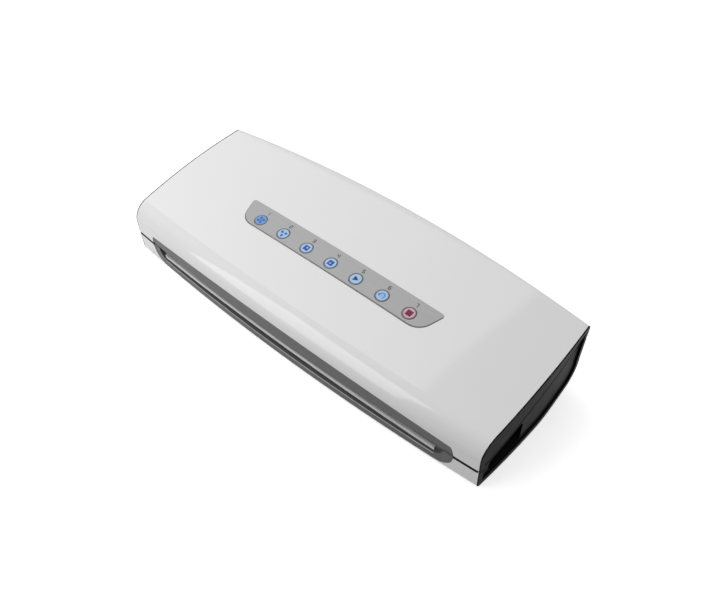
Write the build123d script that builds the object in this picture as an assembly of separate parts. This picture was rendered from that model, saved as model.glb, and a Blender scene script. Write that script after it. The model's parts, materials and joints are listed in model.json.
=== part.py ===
from build123d import *
import os
from math import atan, atan2, cos, degrees, pi, radians, sin, tan

# A countertop vacuum sealer, in millimetres.
# X runs along the length, the front faces -Y, Z is up and the feet stand on Z = 0.

# Body envelope
BODY_LENGTH = 380.0
END_BOW = 2.5
FRONT_Y = -67.3
FRONT_LEAN = 2.0
REAR_Y = 63.5
REAR_LEAN = 3.0
FRONT_BOW = 8.0
REAR_BOW = 11.0
TOP_CROWN = 4.5
FOOT_HEIGHT = 2.0
FRONT_SHOULDER_Z = 48.5
RIDGE_Z = 61.8
REAR_TOP_Z = 68.6
TAIL_START_Y = 14.0
TAIL_CORNER_Z = 14.7
TAIL_CORNER_BACK = 2.0
REAR_WALL_Z = 34.0
TOE_RADIUS = 2.0
TAIL_START_RADIUS = 80.0
TAIL_RADIUS = 18.0
REAR_WALL_RADIUS = 40.0
REAR_TOP_RADIUS = 3.0
RIDGE_RADIUS = 1000.0
SHOULDER_RADIUS = 17.0
LEAST_RADIUS = 0.8
END_OVERRUN = 2.0

# Line where the lid meets the base, level at the front and rising to the rear
PARTING_FRONT_Z = 22.0
PARTING_REAR_Z = 56.0
PARTING_KNEE_Y = -56.0
PARTING_REAR_Y = 62.0
LID_GAP = 0.6
BASE_GAP = 1.0

# Walls and clearances
LID_WALL = 2.6
TUB_WALL = 2.4
END_WALL = 4.0
END_FLANGE = 1.0
END_PLUG = 6.0
END_DISH_RIM = 4.5
END_DISH_DEPTH = 1.6
FIT = 0.2
OVERCUT = 1.0
SLIVER = 0.1
PLATE = 2.2
FASCIA_SPLIT_Y = -60.0

# Front trim and the bag mouth
TRIM_INSET = 22.0
TRIM_LOW_Z = 4.0
TRIM_HIGH_Z = 37.5
TRIM_ARCH_RADIUS = 2100.0
TRIM_CORNER = 15.0
TRIM_DEPTH = 5.0
TRIM_BACK_Y = -58.0
TRIM_SINK = 0.3
MOUTH_INSET = 8.0
MOUTH_LOW_Z = 11.0
MOUTH_DEPTH = 2.6
RAIL_INSET = 8.0
RAIL_HIGH_Z = 20.9
RAIL_HEIGHT = 3.7
RAIL_CORNER = 1.5
RAIL_ARCH_RADIUS = 3400.0
RAIL_SINK = 0.6

# Control panel and buttons
PANEL_REAR_Y = 2.0
PANEL_FRONT_Y = -21.4
PANEL_REAR_LENGTH = 209.0
PANEL_FRONT_LENGTH = 193.0
PANEL_REAR_RADIUS = 2.5
PANEL_FRONT_RADIUS = 15.0
PANEL_PROUD = 0.3
PANEL_THICK = 1.0
PANEL_FIT = 0.25
BUTTON_COUNT = 7
BUTTON_PITCH = 27.0
BUTTON_Y = -12.8
BUTTON_RADIUS = 5.6
BUTTON_FIT = 0.35
BUTTON_PROUD = 0.5
BUTTON_EDGE = 0.4
BUTTON_FLANGE = 1.1
BUTTON_FLANGE_THICK = 1.2
BUTTON_FLANGE_GAP = 0.4
BUTTON_STEM_RADIUS = 2.0
BUTTON_TRAVEL = 0.8
SWITCH_GAP = 0.2
SWITCH_SIZE = 6.0
SWITCH_HEIGHT = 3.4
SWITCH_PLUNGER_RADIUS = 1.7
SWITCH_PLUNGER_HEIGHT = 0.8
LAMP_SIZE = 2.0
LAMP_HEIGHT = 1.0
LAMP_OFFSET = 6.5
BOARD_DEPTH = 11.6
BOARD_THICK = 1.6
BOARD_LENGTH = 190.0
BOARD_WIDTH = 20.0
BOARD_POST_RADIUS = 2.8

# Work deck, vacuum channel and seal bar
DECK_RISER_Y = 6.0
LID_PLATE_LIFT = 4.6
LID_RISER_GAP = 3.0
LID_PLATE_INSET = 18.0
TRAY_END_GAP = 3.3
TRAY_WIDTH = 22.0
TRAY_Y = -31.0
TRAY_DEPTH = 10.0
TRAY_WALL = 1.6
TRAY_LIP = 2.5
TRAY_LIP_THICK = 0.8
TRAY_CORNER = 6.0
GASKET_MARGIN = 11.0
GASKET_WIDTH = 40.0
GASKET_BAND = 5.0
GASKET_END_FLAT = 6.0
GASKET_LOWER_HEIGHT = 2.2
GASKET_GAP = 0.3
BAR_INSET = 4.0
BAR_WIDTH = 7.0
BAR_Y = -57.5
BAR_HEIGHT = 8.0
BAR_CORNER = 1.5
BAR_PROUD = 1.0
STRIP_WIDTH = 2.6
STRIP_END = 5.0
STRIP_THICK = 0.2
TAPE_THICK = 0.2
TAPE_CORNER = 1.0
PRESS_INSET = 2.0
PRESS_WIDTH = 8.0
PRESS_GAP = 0.4

# Finger pockets in the ends, release buttons and hooks
POCKET_FRONT_Y = -53.5
POCKET_REAR_Y = -15.5
POCKET_LOW_Z = 8.5
POCKET_TOP_WALL = 1.4
POCKET_RADIUS = 6.0
POCKET_DEPTH = 11.0
POCKET_WALL = 2.0
RELEASE_Y = -34.0
RELEASE_Z = 14.2
RELEASE_PAD_LENGTH = 24.0
RELEASE_PAD_HEIGHT = 8.0
RELEASE_PAD_THICK = 3.0
RELEASE_PAD_END_FLAT = 0.5
RELEASE_PAD_EDGE = 1.0
RELEASE_TRAVEL = 3.0
RELEASE_STOP = 1.3
RELEASE_STEM_WIDTH = 12.0
RELEASE_STEM_HEIGHT = 6.0
RELEASE_STEM_FIT = 0.4
RELEASE_COLLAR = 1.5
RELEASE_COLLAR_THICK = 3.0
RELEASE_REACH = 20.0
SPRING_LENGTH = 8.0
SPRING_RADIUS = 2.6
SPRING_WIRE = 0.45
SPRING_TURNS = 5
SPRING_POST_THICK = 2.0
HOOK_WIDTH = 8.0
HOOK_THICK = 3.0
HOOK_BARB = 1.6
HOOK_BARB_HEIGHT = 1.5
HOOK_CLEAR = 1.0
HOOK_SLOT = 2.5
HOOK_INSET = 8.0
HOOK_FOOT = 1.2
HOOK_SIDE_ROOM = 0.8
HOOK_END_ROOM = 0.5

# Hinges at the rear
HINGE_X = 45.0
HINGE_INSET = 0.8
KNUCKLE_RADIUS = 3.2
KNUCKLE_LID_WIDTH = 16.0
KNUCKLE_BASE_WIDTH = 9.0
KNUCKLE_GAP = 0.4
KNUCKLE_RELIEF = 0.6
KNUCKLE_ROOT = 9.0
KNUCKLE_DEPTH = 6.5
KNUCKLE_BEVEL_HEIGHT = 5.5
KNUCKLE_BEVEL_DEPTH = 3.0
PIN_RADIUS = 1.5
PIN_CLEAR = 0.05

# Pump, electrics and fixings
PUMP_Y = 28.0
PUMP_Z = 25.0
MOTOR_INSET = 78.0
MOTOR_LENGTH = 42.0
MOTOR_RADIUS = 14.5
MOTOR_EDGE = 1.5
MOTOR_BOSS_RADIUS = 4.0
MOTOR_BOSS_LENGTH = 2.6
SHAFT_RADIUS = 1.6
SHAFT_CLEAR = 0.05
SHAFT_SEAT = 6.0
SHAFT_LENGTH = 18.0
SHAFT_TIP = 1.0
ECCENTRIC_RADIUS = 5.0
ECCENTRIC_OFFSET = 1.5
ECCENTRIC_THICK = 5.0
BRACKET_THICK = 3.0
BRACKET_TOP_DROP = 2.0
HEAD_LENGTH = 30.0
HEAD_DEPTH = 30.0
HEAD_HEIGHT = 24.0
HEAD_EDGE = 3.0
HEAD_CHAMBER_RADIUS = 8.0
HEAD_CHAMBER_DEPTH = 20.0
NOZZLE_RADIUS = 1.8
NOZZLE_BORE = 0.9
NOZZLE_LENGTH = 6.0
HOSE_RADIUS = 3.0
HOSE_Z = 15.5
VALVE_X = -8.0
VALVE_LENGTH = 18.0
VALVE_DEPTH = 22.0
VALVE_HEIGHT = 16.0
VALVE_FRAME_WALL = 2.5
VALVE_COIL_RADIUS = 7.0
VALVE_COIL_HEIGHT = 12.0
VACUUM_SWITCH_X = 32.0
VACUUM_SWITCH_RADIUS = 9.0
VACUUM_SWITCH_HEIGHT = 9.0
VACUUM_SWITCH_EDGE = 1.2
TRANSFORMER_INSET = 95.0
TRANSFORMER_Y = 34.0
TRANSFORMER_LOW_Z = 17.0
CORE_LENGTH = 56.0
CORE_DEPTH = 32.0
CORE_HEIGHT = 21.0
CORE_LEG = 14.0
CORE_WINDOW = 9.0
CORE_YOKE = 4.0
COIL_OVERHANG = 5.0
COIL_FIT = 0.2
COIL_EDGE = 3.0
POWER_BOARD_INSET = 40.0
POWER_BOARD_Y = 32.0
POWER_BOARD_Z = 18.0
POWER_BOARD_LENGTH = 52.0
POWER_BOARD_WIDTH = 36.0
RELAY_LENGTH = 16.0
RELAY_DEPTH = 12.0
RELAY_HEIGHT = 13.0
RELAY_X = -14.0
BOARD_PARTS_FRONT_Y = -8.0
CAPACITOR_RADIUS = 4.0
CAPACITOR_HEIGHT = 12.0
CAPACITOR_XS = (2.0, 12.0)
SINK_LENGTH = 40.0
SINK_HEIGHT = 16.0
SINK_WALL = 2.0
SINK_Y = 7.0
FIN_COUNT = 6
FIN_THICK = 1.5
FIN_DEPTH = 7.0
STANDOFF_RADIUS = 3.0
STANDOFF_INSET = 4.0
INLET_INSET = 60.0
INLET_Z = 27.0
INLET_LENGTH = 22.0
INLET_HEIGHT = 12.0
INLET_FLANGE = 2.5
INLET_FLANGE_THICK = 1.4
INLET_CORNER = 2.0
INLET_DEPTH = 16.0
INLET_PAD_Y = 68.5
INLET_PAD_RIM = 1.0
INLET_PAD_DEPTH = 9.6
INLET_SOCKET_LENGTH = 15.0
INLET_SOCKET_HEIGHT = 8.4
INLET_SOCKET_DEPTH = 12.0
INLET_PIN_RADIUS = 1.2
INLET_PIN_ROOT = 0.5
INLET_PIN_LENGTH = 8.5
INLET_PIN_SPACING = 8.6
FOOT_RADIUS = 7.0
FOOT_INSET = 32.0
FOOT_FRONT_Y = -48.0
FOOT_REAR_Y = 34.0
FOOT_SINK = 5.0
FOOT_CHAMFER = 0.8
SCREW_RADIUS = 1.4
SCREW_CLEAR = 0.3
SCREW_HEAD_RADIUS = 2.8
SCREW_HEAD_HEIGHT = 1.6
SCREW_CROSS_LENGTH = 3.4
SCREW_CROSS_WIDTH = 0.7
SCREW_CROSS_DEPTH = 0.7
SCREW_GRIP = 9.0
DECK_POST_RADIUS = 3.4
DECK_POST_REAR_Y = -6.0
DECK_POST_FRONT_Y = -48.5
DECK_POST_REAR_INSET = 50.0
DECK_POST_FRONT_INSET = 70.0
DECK_POST_MIDDLE_X = 35.0
LID_POST_RADIUS = 3.2
LID_POST_FRONT_INSET = 24.0
LID_POST_FRONT_Y = -6.0
LID_POST_REAR_INSET = 80.0
LID_POST_REAR_Y = 40.0

# Values that follow from the sizes above
HALF = BODY_LENGTH / 2
REACH = HALF + END_BOW + END_OVERRUN
BOTTOM_Z = FOOT_HEIGHT
DECK_Z = PARTING_FRONT_Z - BASE_GAP
LID_PLATE_Z = DECK_Z + LID_PLATE_LIFT
HINGE_Z = PARTING_REAR_Z
FAR = 150.0
BUTTON_XS = [(i - (BUTTON_COUNT - 1) / 2) * BUTTON_PITCH for i in range(BUTTON_COUNT)]
TRIM_LENGTH = BODY_LENGTH - 2 * TRIM_INSET
MOUTH_LENGTH = TRIM_LENGTH - 2 * MOUTH_INSET
BAR_LENGTH = MOUTH_LENGTH - 2 * BAR_INSET
PRESS_LENGTH = BAR_LENGTH - 2 * PRESS_INSET
LID_PLATE_LENGTH = BODY_LENGTH - 2 * LID_PLATE_INSET
FOOT_X = HALF - FOOT_INSET
INLET_X = HALF - INLET_INSET
TRANSFORMER_X = HALF - TRANSFORMER_INSET
POWER_BOARD_X = POWER_BOARD_INSET - HALF
MOTOR_X = MOTOR_INSET - HALF
MOTOR_END_X = MOTOR_X + MOTOR_LENGTH
BRACKET_END_X = MOTOR_END_X + BRACKET_THICK
HEAD_END_X = BRACKET_END_X + HEAD_LENGTH
POCKET_FLOOR_X = HALF - POCKET_DEPTH
HOUSING_X = POCKET_FLOOR_X - POCKET_WALL
PAD_IN_X = POCKET_FLOOR_X + RELEASE_STOP + RELEASE_TRAVEL
STEM_END_X = PAD_IN_X - RELEASE_REACH
HOOK_X = HOUSING_X - HOOK_INSET + HOOK_THICK
STEM_TOP_Z = RELEASE_Z + RELEASE_STEM_HEIGHT / 2
SPRING_POST_X = STEM_END_X - SPRING_LENGTH
TRAY_LENGTH = 2 * (SPRING_POST_X - SPRING_POST_THICK - TRAY_END_GAP)
GASKET_LENGTH = TRAY_LENGTH + 2 * GASKET_MARGIN


def both_sides(x, y):
    return [(-x, y), (x, y)]


DECK_POSTS = both_sides(HALF - DECK_POST_REAR_INSET, DECK_POST_REAR_Y)
DECK_POSTS += both_sides(DECK_POST_MIDDLE_X, DECK_POST_REAR_Y)
DECK_POSTS += both_sides(HALF - DECK_POST_FRONT_INSET, DECK_POST_FRONT_Y)
LID_POSTS = both_sides(HALF - LID_POST_FRONT_INSET, LID_POST_FRONT_Y)
LID_POSTS += both_sides(HALF - LID_POST_REAR_INSET, LID_POST_REAR_Y)
FEET = both_sides(FOOT_X, FOOT_FRONT_Y) + both_sides(FOOT_X, FOOT_REAR_Y)


def section_corners(swell):
    """Corners of the body's section and their radii, from an end (0) to the middle (1)."""
    front = FRONT_Y - FRONT_BOW * swell
    rear = REAR_Y + REAR_BOW * swell
    crown = TOP_CROWN * swell
    return [
        (front + FRONT_LEAN, BOTTOM_Z, TOE_RADIUS),
        (TAIL_START_Y, BOTTOM_Z, TAIL_START_RADIUS),
        (rear - TAIL_CORNER_BACK, TAIL_CORNER_Z, TAIL_RADIUS),
        (rear - REAR_LEAN, REAR_WALL_Z, REAR_WALL_RADIUS),
        (rear, REAR_TOP_Z + crown, REAR_TOP_RADIUS),
        (0.0, RIDGE_Z + crown, RIDGE_RADIUS),
        (front, FRONT_SHOULDER_Z + crown, SHOULDER_RADIUS),
    ]


def swell_at(x):
    return 1 - (x / HALF) ** 2


def inset_corners(corners, depth):
    """The same outline with every side moved inwards by the depth."""
    moved = []
    count = len(corners)
    for i in range(count):
        y0, z0, _ = corners[i - 1]
        y1, z1, radius = corners[i]
        y2, z2, _ = corners[(i + 1) % count]
        a = atan2(z1 - z0, y1 - y0)
        b = atan2(z2 - z1, y2 - y1)
        half_turn = (b - a) / 2
        while half_turn < -pi / 2:
            half_turn += pi
        reach = depth / cos(half_turn)
        bisector = a + half_turn + pi / 2
        radius = max(radius - depth, LEAST_RADIUS)
        moved.append((y1 + reach * cos(bisector), z1 + reach * sin(bisector), radius))
    return moved


def body_section(x, depth):
    corners = inset_corners(section_corners(swell_at(x)), depth)
    points = [(y, z) for y, z, _ in corners]
    outline = FilletPolyline(*points, radius=[r for _, _, r in corners], close=True)
    return Plane.YZ.offset(x) * make_face(outline)


def envelope(depth):
    """The body's whole form, moved inwards by the depth, running past both ends."""
    return loft([body_section(x, depth) for x in (-REACH, 0, REACH)])


def between_ends(shrink):
    """Everything between the two bowed ends, each moved inwards by the shrink."""
    mid = HALF + END_BOW - shrink
    edge = mid - END_BOW * (FAR / FRONT_Y) ** 2
    plan = make_face(
        [
            Line((-edge, -FAR), (edge, -FAR)),
            ThreePointArc((edge, -FAR), (mid, 0), (edge, FAR)),
            Line((edge, FAR), (-edge, FAR)),
            ThreePointArc((-edge, FAR), (-mid, 0), (-edge, -FAR)),
        ]
    )
    return Pos(0, 0, -FAR) * extrude(plan, 2 * FAR)


def bar(x0, x1, y0, y1, z0, z1):
    return Pos((x0 + x1) / 2, (y0 + y1) / 2, (z0 + z1) / 2) * Box(x1 - x0, y1 - y0, z1 - z0)


def side_prism(points, x0, x1, radius=0.0):
    """A shape drawn from the side, as (Y, Z) points, carried from x0 to x1."""
    if radius:
        face = make_face(FilletPolyline(*points, radius=radius, close=True))
    else:
        face = make_face(Polyline(*points, close=True))
    return extrude(Plane.YZ.offset(x0) * face, x1 - x0)


def rod_x(radius, x0, x1, y, z):
    return Pos((x0 + x1) / 2, y, z) * Rot(0, 90, 0) * Cylinder(radius, x1 - x0)


def rod_z(radius, x, y, z0, z1):
    return Pos(x, y, (z0 + z1) / 2) * Cylinder(radius, z1 - z0)


def mirrored(shape):
    return mirror(shape, about=Plane.YZ)


def parting_z(y):
    share = (y - PARTING_KNEE_Y) / (PARTING_REAR_Y - PARTING_KNEE_Y)
    return PARTING_FRONT_Z + (PARTING_REAR_Z - PARTING_FRONT_Z) * min(max(share, 0), 1)


def parting_line(shift):
    return [
        (-FAR, PARTING_FRONT_Z + shift),
        (PARTING_KNEE_Y, PARTING_FRONT_Z + shift),
        (PARTING_REAR_Y, PARTING_REAR_Z + shift),
        (FAR, PARTING_REAR_Z + shift),
    ]


def above_parting(shift):
    return side_prism(parting_line(shift) + [(FAR, FAR), (-FAR, FAR)], -REACH, REACH)


def below_parting(shift):
    return side_prism(parting_line(shift) + [(FAR, -FAR), (-FAR, -FAR)], -REACH, REACH)


def top_slopes(x):
    """Slopes of the top before and behind the ridge, and the ridge's height, at a place along the length."""
    corners = section_corners(swell_at(x))
    (rear_y, rear_z, _), (ridge_y, ridge_z, _), (front_y, front_z, _) = corners[4:7]
    return (ridge_z - front_z) / (ridge_y - front_y), (rear_z - ridge_z) / (rear_y - ridge_y), ridge_z


def top_z(x, y):
    """Height of the body's top, whose ridge is a long arc between two straight slopes."""
    front_slope, rear_slope, ridge_z = top_slopes(x)
    tangent = RIDGE_RADIUS * tan((atan(front_slope) - atan(rear_slope)) / 2)
    arc = min(max(y + tangent, 0), 2 * tangent)
    straight = ridge_z + front_slope * y if y < tangent else ridge_z + rear_slope * y
    bend = (front_slope - rear_slope) / (4 * tangent) * arc ** 2 if y < tangent else 0.0
    return straight - bend


def panel_tilt():
    step = 1.0
    return degrees(atan((top_z(0, BUTTON_Y + step) - top_z(0, BUTTON_Y - step)) / (2 * step)))


def rear_face_y():
    """Rear face of the body at the hinge height, in the middle of its length."""
    corners = section_corners(1)
    (low_y, low_z, _), (high_y, high_z, _) = corners[3:5]
    return low_y + (high_y - low_y) * (HINGE_Z - low_z) / (high_z - low_z)


HINGE_Y = rear_face_y() - HINGE_INSET
TILT = panel_tilt()


def button_frame(x):
    """Place on the body's top under a button, tilted with the panel."""
    return Pos(x, BUTTON_Y, top_z(x, BUTTON_Y)) * Rot(TILT, 0, 0)


def board_frame():
    return button_frame(0)


def front_shape(length, low_z, high_z, corner, back_y):
    """A rounded bar drawn on the front, carried forwards from a plane behind the front wall."""
    height = high_z - low_z
    face = Plane.XZ.offset(-back_y) * Pos(0, (low_z + high_z) / 2) * RectangleRounded(length, height, corner)
    return extrude(face, FAR)


def arch(high_z, radius):
    """Everything under a shallow arch across the front, highest in the middle."""
    return Pos(0, 0, high_z - radius) * Rot(90, 0, 0) * Cylinder(radius, 2 * FAR)


def trim_front(grow):
    """The front trim's outline, grown a little for its pocket, carried through the front wall."""
    low = TRIM_LOW_Z - grow
    high = TRIM_HIGH_Z + grow
    bar = front_shape(TRIM_LENGTH + 2 * grow, low, high, TRIM_CORNER + grow, TRIM_BACK_Y + grow)
    return bar & arch(high, TRIM_ARCH_RADIUS)


def trim_pocket():
    return trim_front(FIT) - envelope(TRIM_DEPTH + FIT)


def trim_ring():
    return trim_front(0) & (envelope(TRIM_SINK) - envelope(TRIM_DEPTH))


def upper_front_trim():
    return trim_ring() & above_parting(LID_GAP)


def lower_front_trim():
    """The base's half of the trim, with the bag mouth sunk into it."""
    mouth_high = 2 * PARTING_FRONT_Z - MOUTH_LOW_Z
    corner = (mouth_high - MOUTH_LOW_Z) / 2 - SLIVER
    mouth = front_shape(MOUTH_LENGTH, MOUTH_LOW_Z, mouth_high, corner, TRIM_BACK_Y)
    return (trim_ring() & below_parting(-BASE_GAP)) - (mouth - envelope(MOUTH_DEPTH))


def slot_rail():
    """Pale arched rail along the bag mouth, standing on the floor of its recess."""
    length = MOUTH_LENGTH - 2 * RAIL_INSET
    bar = front_shape(length, MOUTH_LOW_Z, PARTING_FRONT_Z, RAIL_CORNER, TRIM_BACK_Y)
    band = arch(RAIL_HIGH_Z, RAIL_ARCH_RADIUS) - arch(RAIL_HIGH_Z - RAIL_HEIGHT, RAIL_ARCH_RADIUS)
    return bar & band & (envelope(RAIL_SINK) - envelope(MOUTH_DEPTH))


def panel_outline(grow):
    points = [
        (-PANEL_REAR_LENGTH / 2 - grow, PANEL_REAR_Y + grow),
        (-PANEL_FRONT_LENGTH / 2 - grow, PANEL_FRONT_Y - grow),
        (PANEL_FRONT_LENGTH / 2 + grow, PANEL_FRONT_Y - grow),
        (PANEL_REAR_LENGTH / 2 + grow, PANEL_REAR_Y + grow),
    ]
    rear = PANEL_REAR_RADIUS + grow
    front = PANEL_FRONT_RADIUS + grow
    face = make_face(FilletPolyline(*points, radius=[rear, front, front, rear], close=True))
    return Pos(0, 0, RIDGE_Z / 2) * extrude(face, FAR)


def button_holes():
    return [button_frame(x) * Cylinder(BUTTON_RADIUS + BUTTON_FIT, 4 * LID_WALL) for x in BUTTON_XS]


def control_panel():
    skin = envelope(-PANEL_PROUD) - envelope(PANEL_THICK - PANEL_PROUD)
    return (panel_outline(0) & skin) - button_holes()


def board_post_xs():
    """Places half-way between buttons, at the board's ends and on both sides of its middle."""
    gaps = [(a + b) / 2 for a, b in zip(BUTTON_XS, BUTTON_XS[1:])]
    middle = len(gaps) // 2
    return [gaps[0], gaps[middle - 1], gaps[middle], gaps[-1]]


def board_posts():
    """Posts under the lid, between the buttons, that carry the button board."""
    post = Pos(0, 0, -BOARD_DEPTH / 2) * Cylinder(BOARD_POST_RADIUS, BOARD_DEPTH)
    return [board_frame() * Pos(x, 0, 0) * post for x in board_post_xs()]


def board_screw_places():
    return [board_frame() * Pos(x, 0, -BOARD_DEPTH - BOARD_THICK) for x in board_post_xs()]


def screw(frame, grip):
    """A screw whose head seats on the frame's plane from below, with its shank going up."""
    head = Pos(0, 0, -SCREW_HEAD_HEIGHT / 2) * Cylinder(SCREW_HEAD_RADIUS, SCREW_HEAD_HEIGHT)
    cross = Box(SCREW_CROSS_LENGTH, SCREW_CROSS_WIDTH, 2 * SCREW_CROSS_DEPTH)
    cross += Box(SCREW_CROSS_WIDTH, SCREW_CROSS_LENGTH, 2 * SCREW_CROSS_DEPTH)
    head -= Pos(0, 0, -SCREW_HEAD_HEIGHT) * cross
    return frame * (head + Pos(0, 0, grip / 2) * Cylinder(SCREW_RADIUS, grip))


def lid_plate_top_z(y):
    level = LID_PLATE_Z + PLATE
    if y < DECK_RISER_Y - LID_RISER_GAP:
        return level
    return parting_z(y) + LID_GAP + FIT + 2 * PLATE


def lid_post(x, y):
    low = lid_plate_top_z(y + LID_POST_RADIUS)
    post = rod_z(LID_POST_RADIUS, x, y, low, FAR) - rod_z(SCREW_RADIUS, x, y, 0, low + SCREW_GRIP)
    return post & envelope(LID_WALL / 2)


def hinge_sides():
    return [-HINGE_X, HINGE_X]


def knuckle(x, width, up):
    """One hinge barrel with its root running up into the lid or down into the base."""
    barrel = rod_x(KNUCKLE_RADIUS, x - width / 2, x + width / 2, HINGE_Y, HINGE_Z)
    root_end = HINGE_Z + KNUCKLE_ROOT * up
    low, high = min(HINGE_Z, root_end), max(HINGE_Z, root_end)
    front = HINGE_Y - KNUCKLE_DEPTH
    rear = HINGE_Y + KNUCKLE_RADIUS
    root = bar(x - width / 2, x + width / 2, front, rear, low, high)
    bevel = [
        (rear + SLIVER, root_end - KNUCKLE_BEVEL_HEIGHT * up),
        (rear + SLIVER, root_end + OVERCUT * up),
        (rear - KNUCKLE_BEVEL_DEPTH, root_end + OVERCUT * up),
    ]
    return barrel + (root - side_prism(bevel, x - width, x + width))


def base_knuckle_xs():
    offset = (KNUCKLE_LID_WIDTH + KNUCKLE_BASE_WIDTH) / 2 + KNUCKLE_GAP
    return [side + step for side in hinge_sides() for step in (-offset, offset)]


def hinge_relief(xs, width):
    """Round clearance cut along the hinge line beside the other part's barrels."""
    radius = KNUCKLE_RADIUS + KNUCKLE_RELIEF
    return [
        rod_x(radius, x - width / 2 - KNUCKLE_GAP, x + width / 2 + KNUCKLE_GAP, HINGE_Y, HINGE_Z)
        + bar(
            x - width / 2 - KNUCKLE_GAP,
            x + width / 2 + KNUCKLE_GAP,
            HINGE_Y - KNUCKLE_DEPTH - KNUCKLE_RELIEF,
            HINGE_Y,
            HINGE_Z - radius,
            HINGE_Z + radius,
        )
        for x in xs
    ]


def pin_bore(radius):
    return rod_x(radius, -FAR, FAR, HINGE_Y, HINGE_Z)


def lid_shell():
    shell = (envelope(0) - envelope(LID_WALL)) & above_parting(LID_GAP) & between_ends(END_FLANGE)
    shell -= trim_pocket()
    shell -= panel_outline(PANEL_FIT) - envelope(PANEL_THICK - PANEL_PROUD)
    shell += [post & envelope(LID_WALL / 2) for post in board_posts()]
    shell += [lid_post(x, y) for x, y in LID_POSTS]
    bore = Pos(0, 0, SCREW_GRIP / 2) * Cylinder(SCREW_RADIUS, SCREW_GRIP)
    shell -= [frame * bore for frame in board_screw_places()]
    shell -= button_holes()
    shell -= hinge_relief(base_knuckle_xs(), KNUCKLE_BASE_WIDTH)
    shell += [knuckle(x, KNUCKLE_LID_WIDTH, 1) for x in hinge_sides()]
    return shell - pin_bore(PIN_RADIUS + PIN_CLEAR)


def right_of(x):
    return bar(x, 2 * FAR, -FAR, FAR, -FAR, FAR)


def end_dish():
    """Shallow dish sunk into the right end, inside a narrow rim."""
    return (envelope(END_DISH_RIM) & right_of(0)) - between_ends(END_DISH_DEPTH)


def lid_end_cap():
    flange = (envelope(0) & right_of(0) & between_ends(0)) - between_ends(END_FLANGE)
    plug = envelope(LID_WALL + FIT) & between_ends(END_FLANGE) & right_of(HALF - END_PLUG)
    return ((flange + plug) & above_parting(LID_GAP)) - end_dish()


def plate_band(level, riser_y, thick, shift):
    """A plate that is level at the front, steps up at a riser and then follows the parting line."""
    def slope(y, drop):
        return (y, parting_z(y) + shift - drop)

    upper = [(-FAR, level), (riser_y, level), slope(riser_y, 0), slope(PARTING_REAR_Y, 0)]
    upper.append((FAR, PARTING_REAR_Z + shift))
    lower = [(FAR, PARTING_REAR_Z + shift - thick), slope(PARTING_REAR_Y, thick)]
    lower += [slope(riser_y + thick, thick), (riser_y + thick, level - thick), (-FAR, level - thick)]
    return upper + lower


def slotted(length, width, corner, z0, z1, y):
    return Pos(0, y, z0) * extrude(RectangleRounded(length, width, corner), z1 - z0)


def lid_inner_plate():
    riser = DECK_RISER_Y - LID_RISER_GAP - PLATE
    band = plate_band(LID_PLATE_Z + PLATE, riser, PLATE, LID_GAP + FIT + 2 * PLATE)
    half = LID_PLATE_LENGTH / 2
    plate = side_prism(band, -half, half) & envelope(LID_WALL + FIT)
    plate -= trim_pocket()
    plate -= [rod_z(SCREW_RADIUS + SCREW_CLEAR, x, y, 0, FAR) for x, y in LID_POSTS]
    plate -= hinge_relief(base_knuckle_xs(), KNUCKLE_BASE_WIDTH)
    plate -= hinge_relief(hinge_sides(), KNUCKLE_LID_WIDTH)
    return plate - [knuckle_room(x) for x in hinge_sides()]


def knuckle_room(x):
    half = KNUCKLE_LID_WIDTH / 2 + FIT
    return bar(x - half, x + half, HINGE_Y - KNUCKLE_DEPTH - FIT, FAR, 0, FAR)


def gasket(z0, z1):
    corner = GASKET_WIDTH / 2 - GASKET_END_FLAT
    outer = slotted(GASKET_LENGTH, GASKET_WIDTH, corner, z0, z1, TRAY_Y)
    band = 2 * GASKET_BAND
    return outer - slotted(GASKET_LENGTH - band, GASKET_WIDTH - band, corner - GASKET_BAND, z0, z1, TRAY_Y)


def lower_gasket():
    return gasket(DECK_Z, DECK_Z + GASKET_LOWER_HEIGHT)


def upper_gasket():
    return gasket(DECK_Z + GASKET_LOWER_HEIGHT + GASKET_GAP, LID_PLATE_Z)


def seal_bar_top():
    return DECK_Z + BAR_PROUD


def seal_bar():
    top = seal_bar_top()
    return slotted(BAR_LENGTH, BAR_WIDTH, BAR_CORNER, top - BAR_HEIGHT, top, BAR_Y)


def heating_strip():
    top = seal_bar_top()
    length = BAR_LENGTH - 2 * STRIP_END
    return slotted(length, STRIP_WIDTH, STRIP_WIDTH / 2 - SLIVER, top, top + STRIP_THICK, BAR_Y)


def cover_tape():
    low = seal_bar_top() + STRIP_THICK
    return slotted(BAR_LENGTH, BAR_WIDTH, TAPE_CORNER, low, low + TAPE_THICK, BAR_Y)


def press_strip():
    low = seal_bar_top() + STRIP_THICK + TAPE_THICK + PRESS_GAP
    return slotted(PRESS_LENGTH, PRESS_WIDTH, BAR_CORNER, low, LID_PLATE_Z, BAR_Y)


def hook_slot():
    half_y = HOOK_WIDTH / 2 + HOOK_SLOT
    x0 = HOOK_X - HOOK_THICK - HOOK_SLOT
    x1 = HOUSING_X + HOOK_SLOT
    return bar(x0, x1, RELEASE_Y - half_y, RELEASE_Y + half_y, 0, DECK_Z + OVERCUT)


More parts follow.
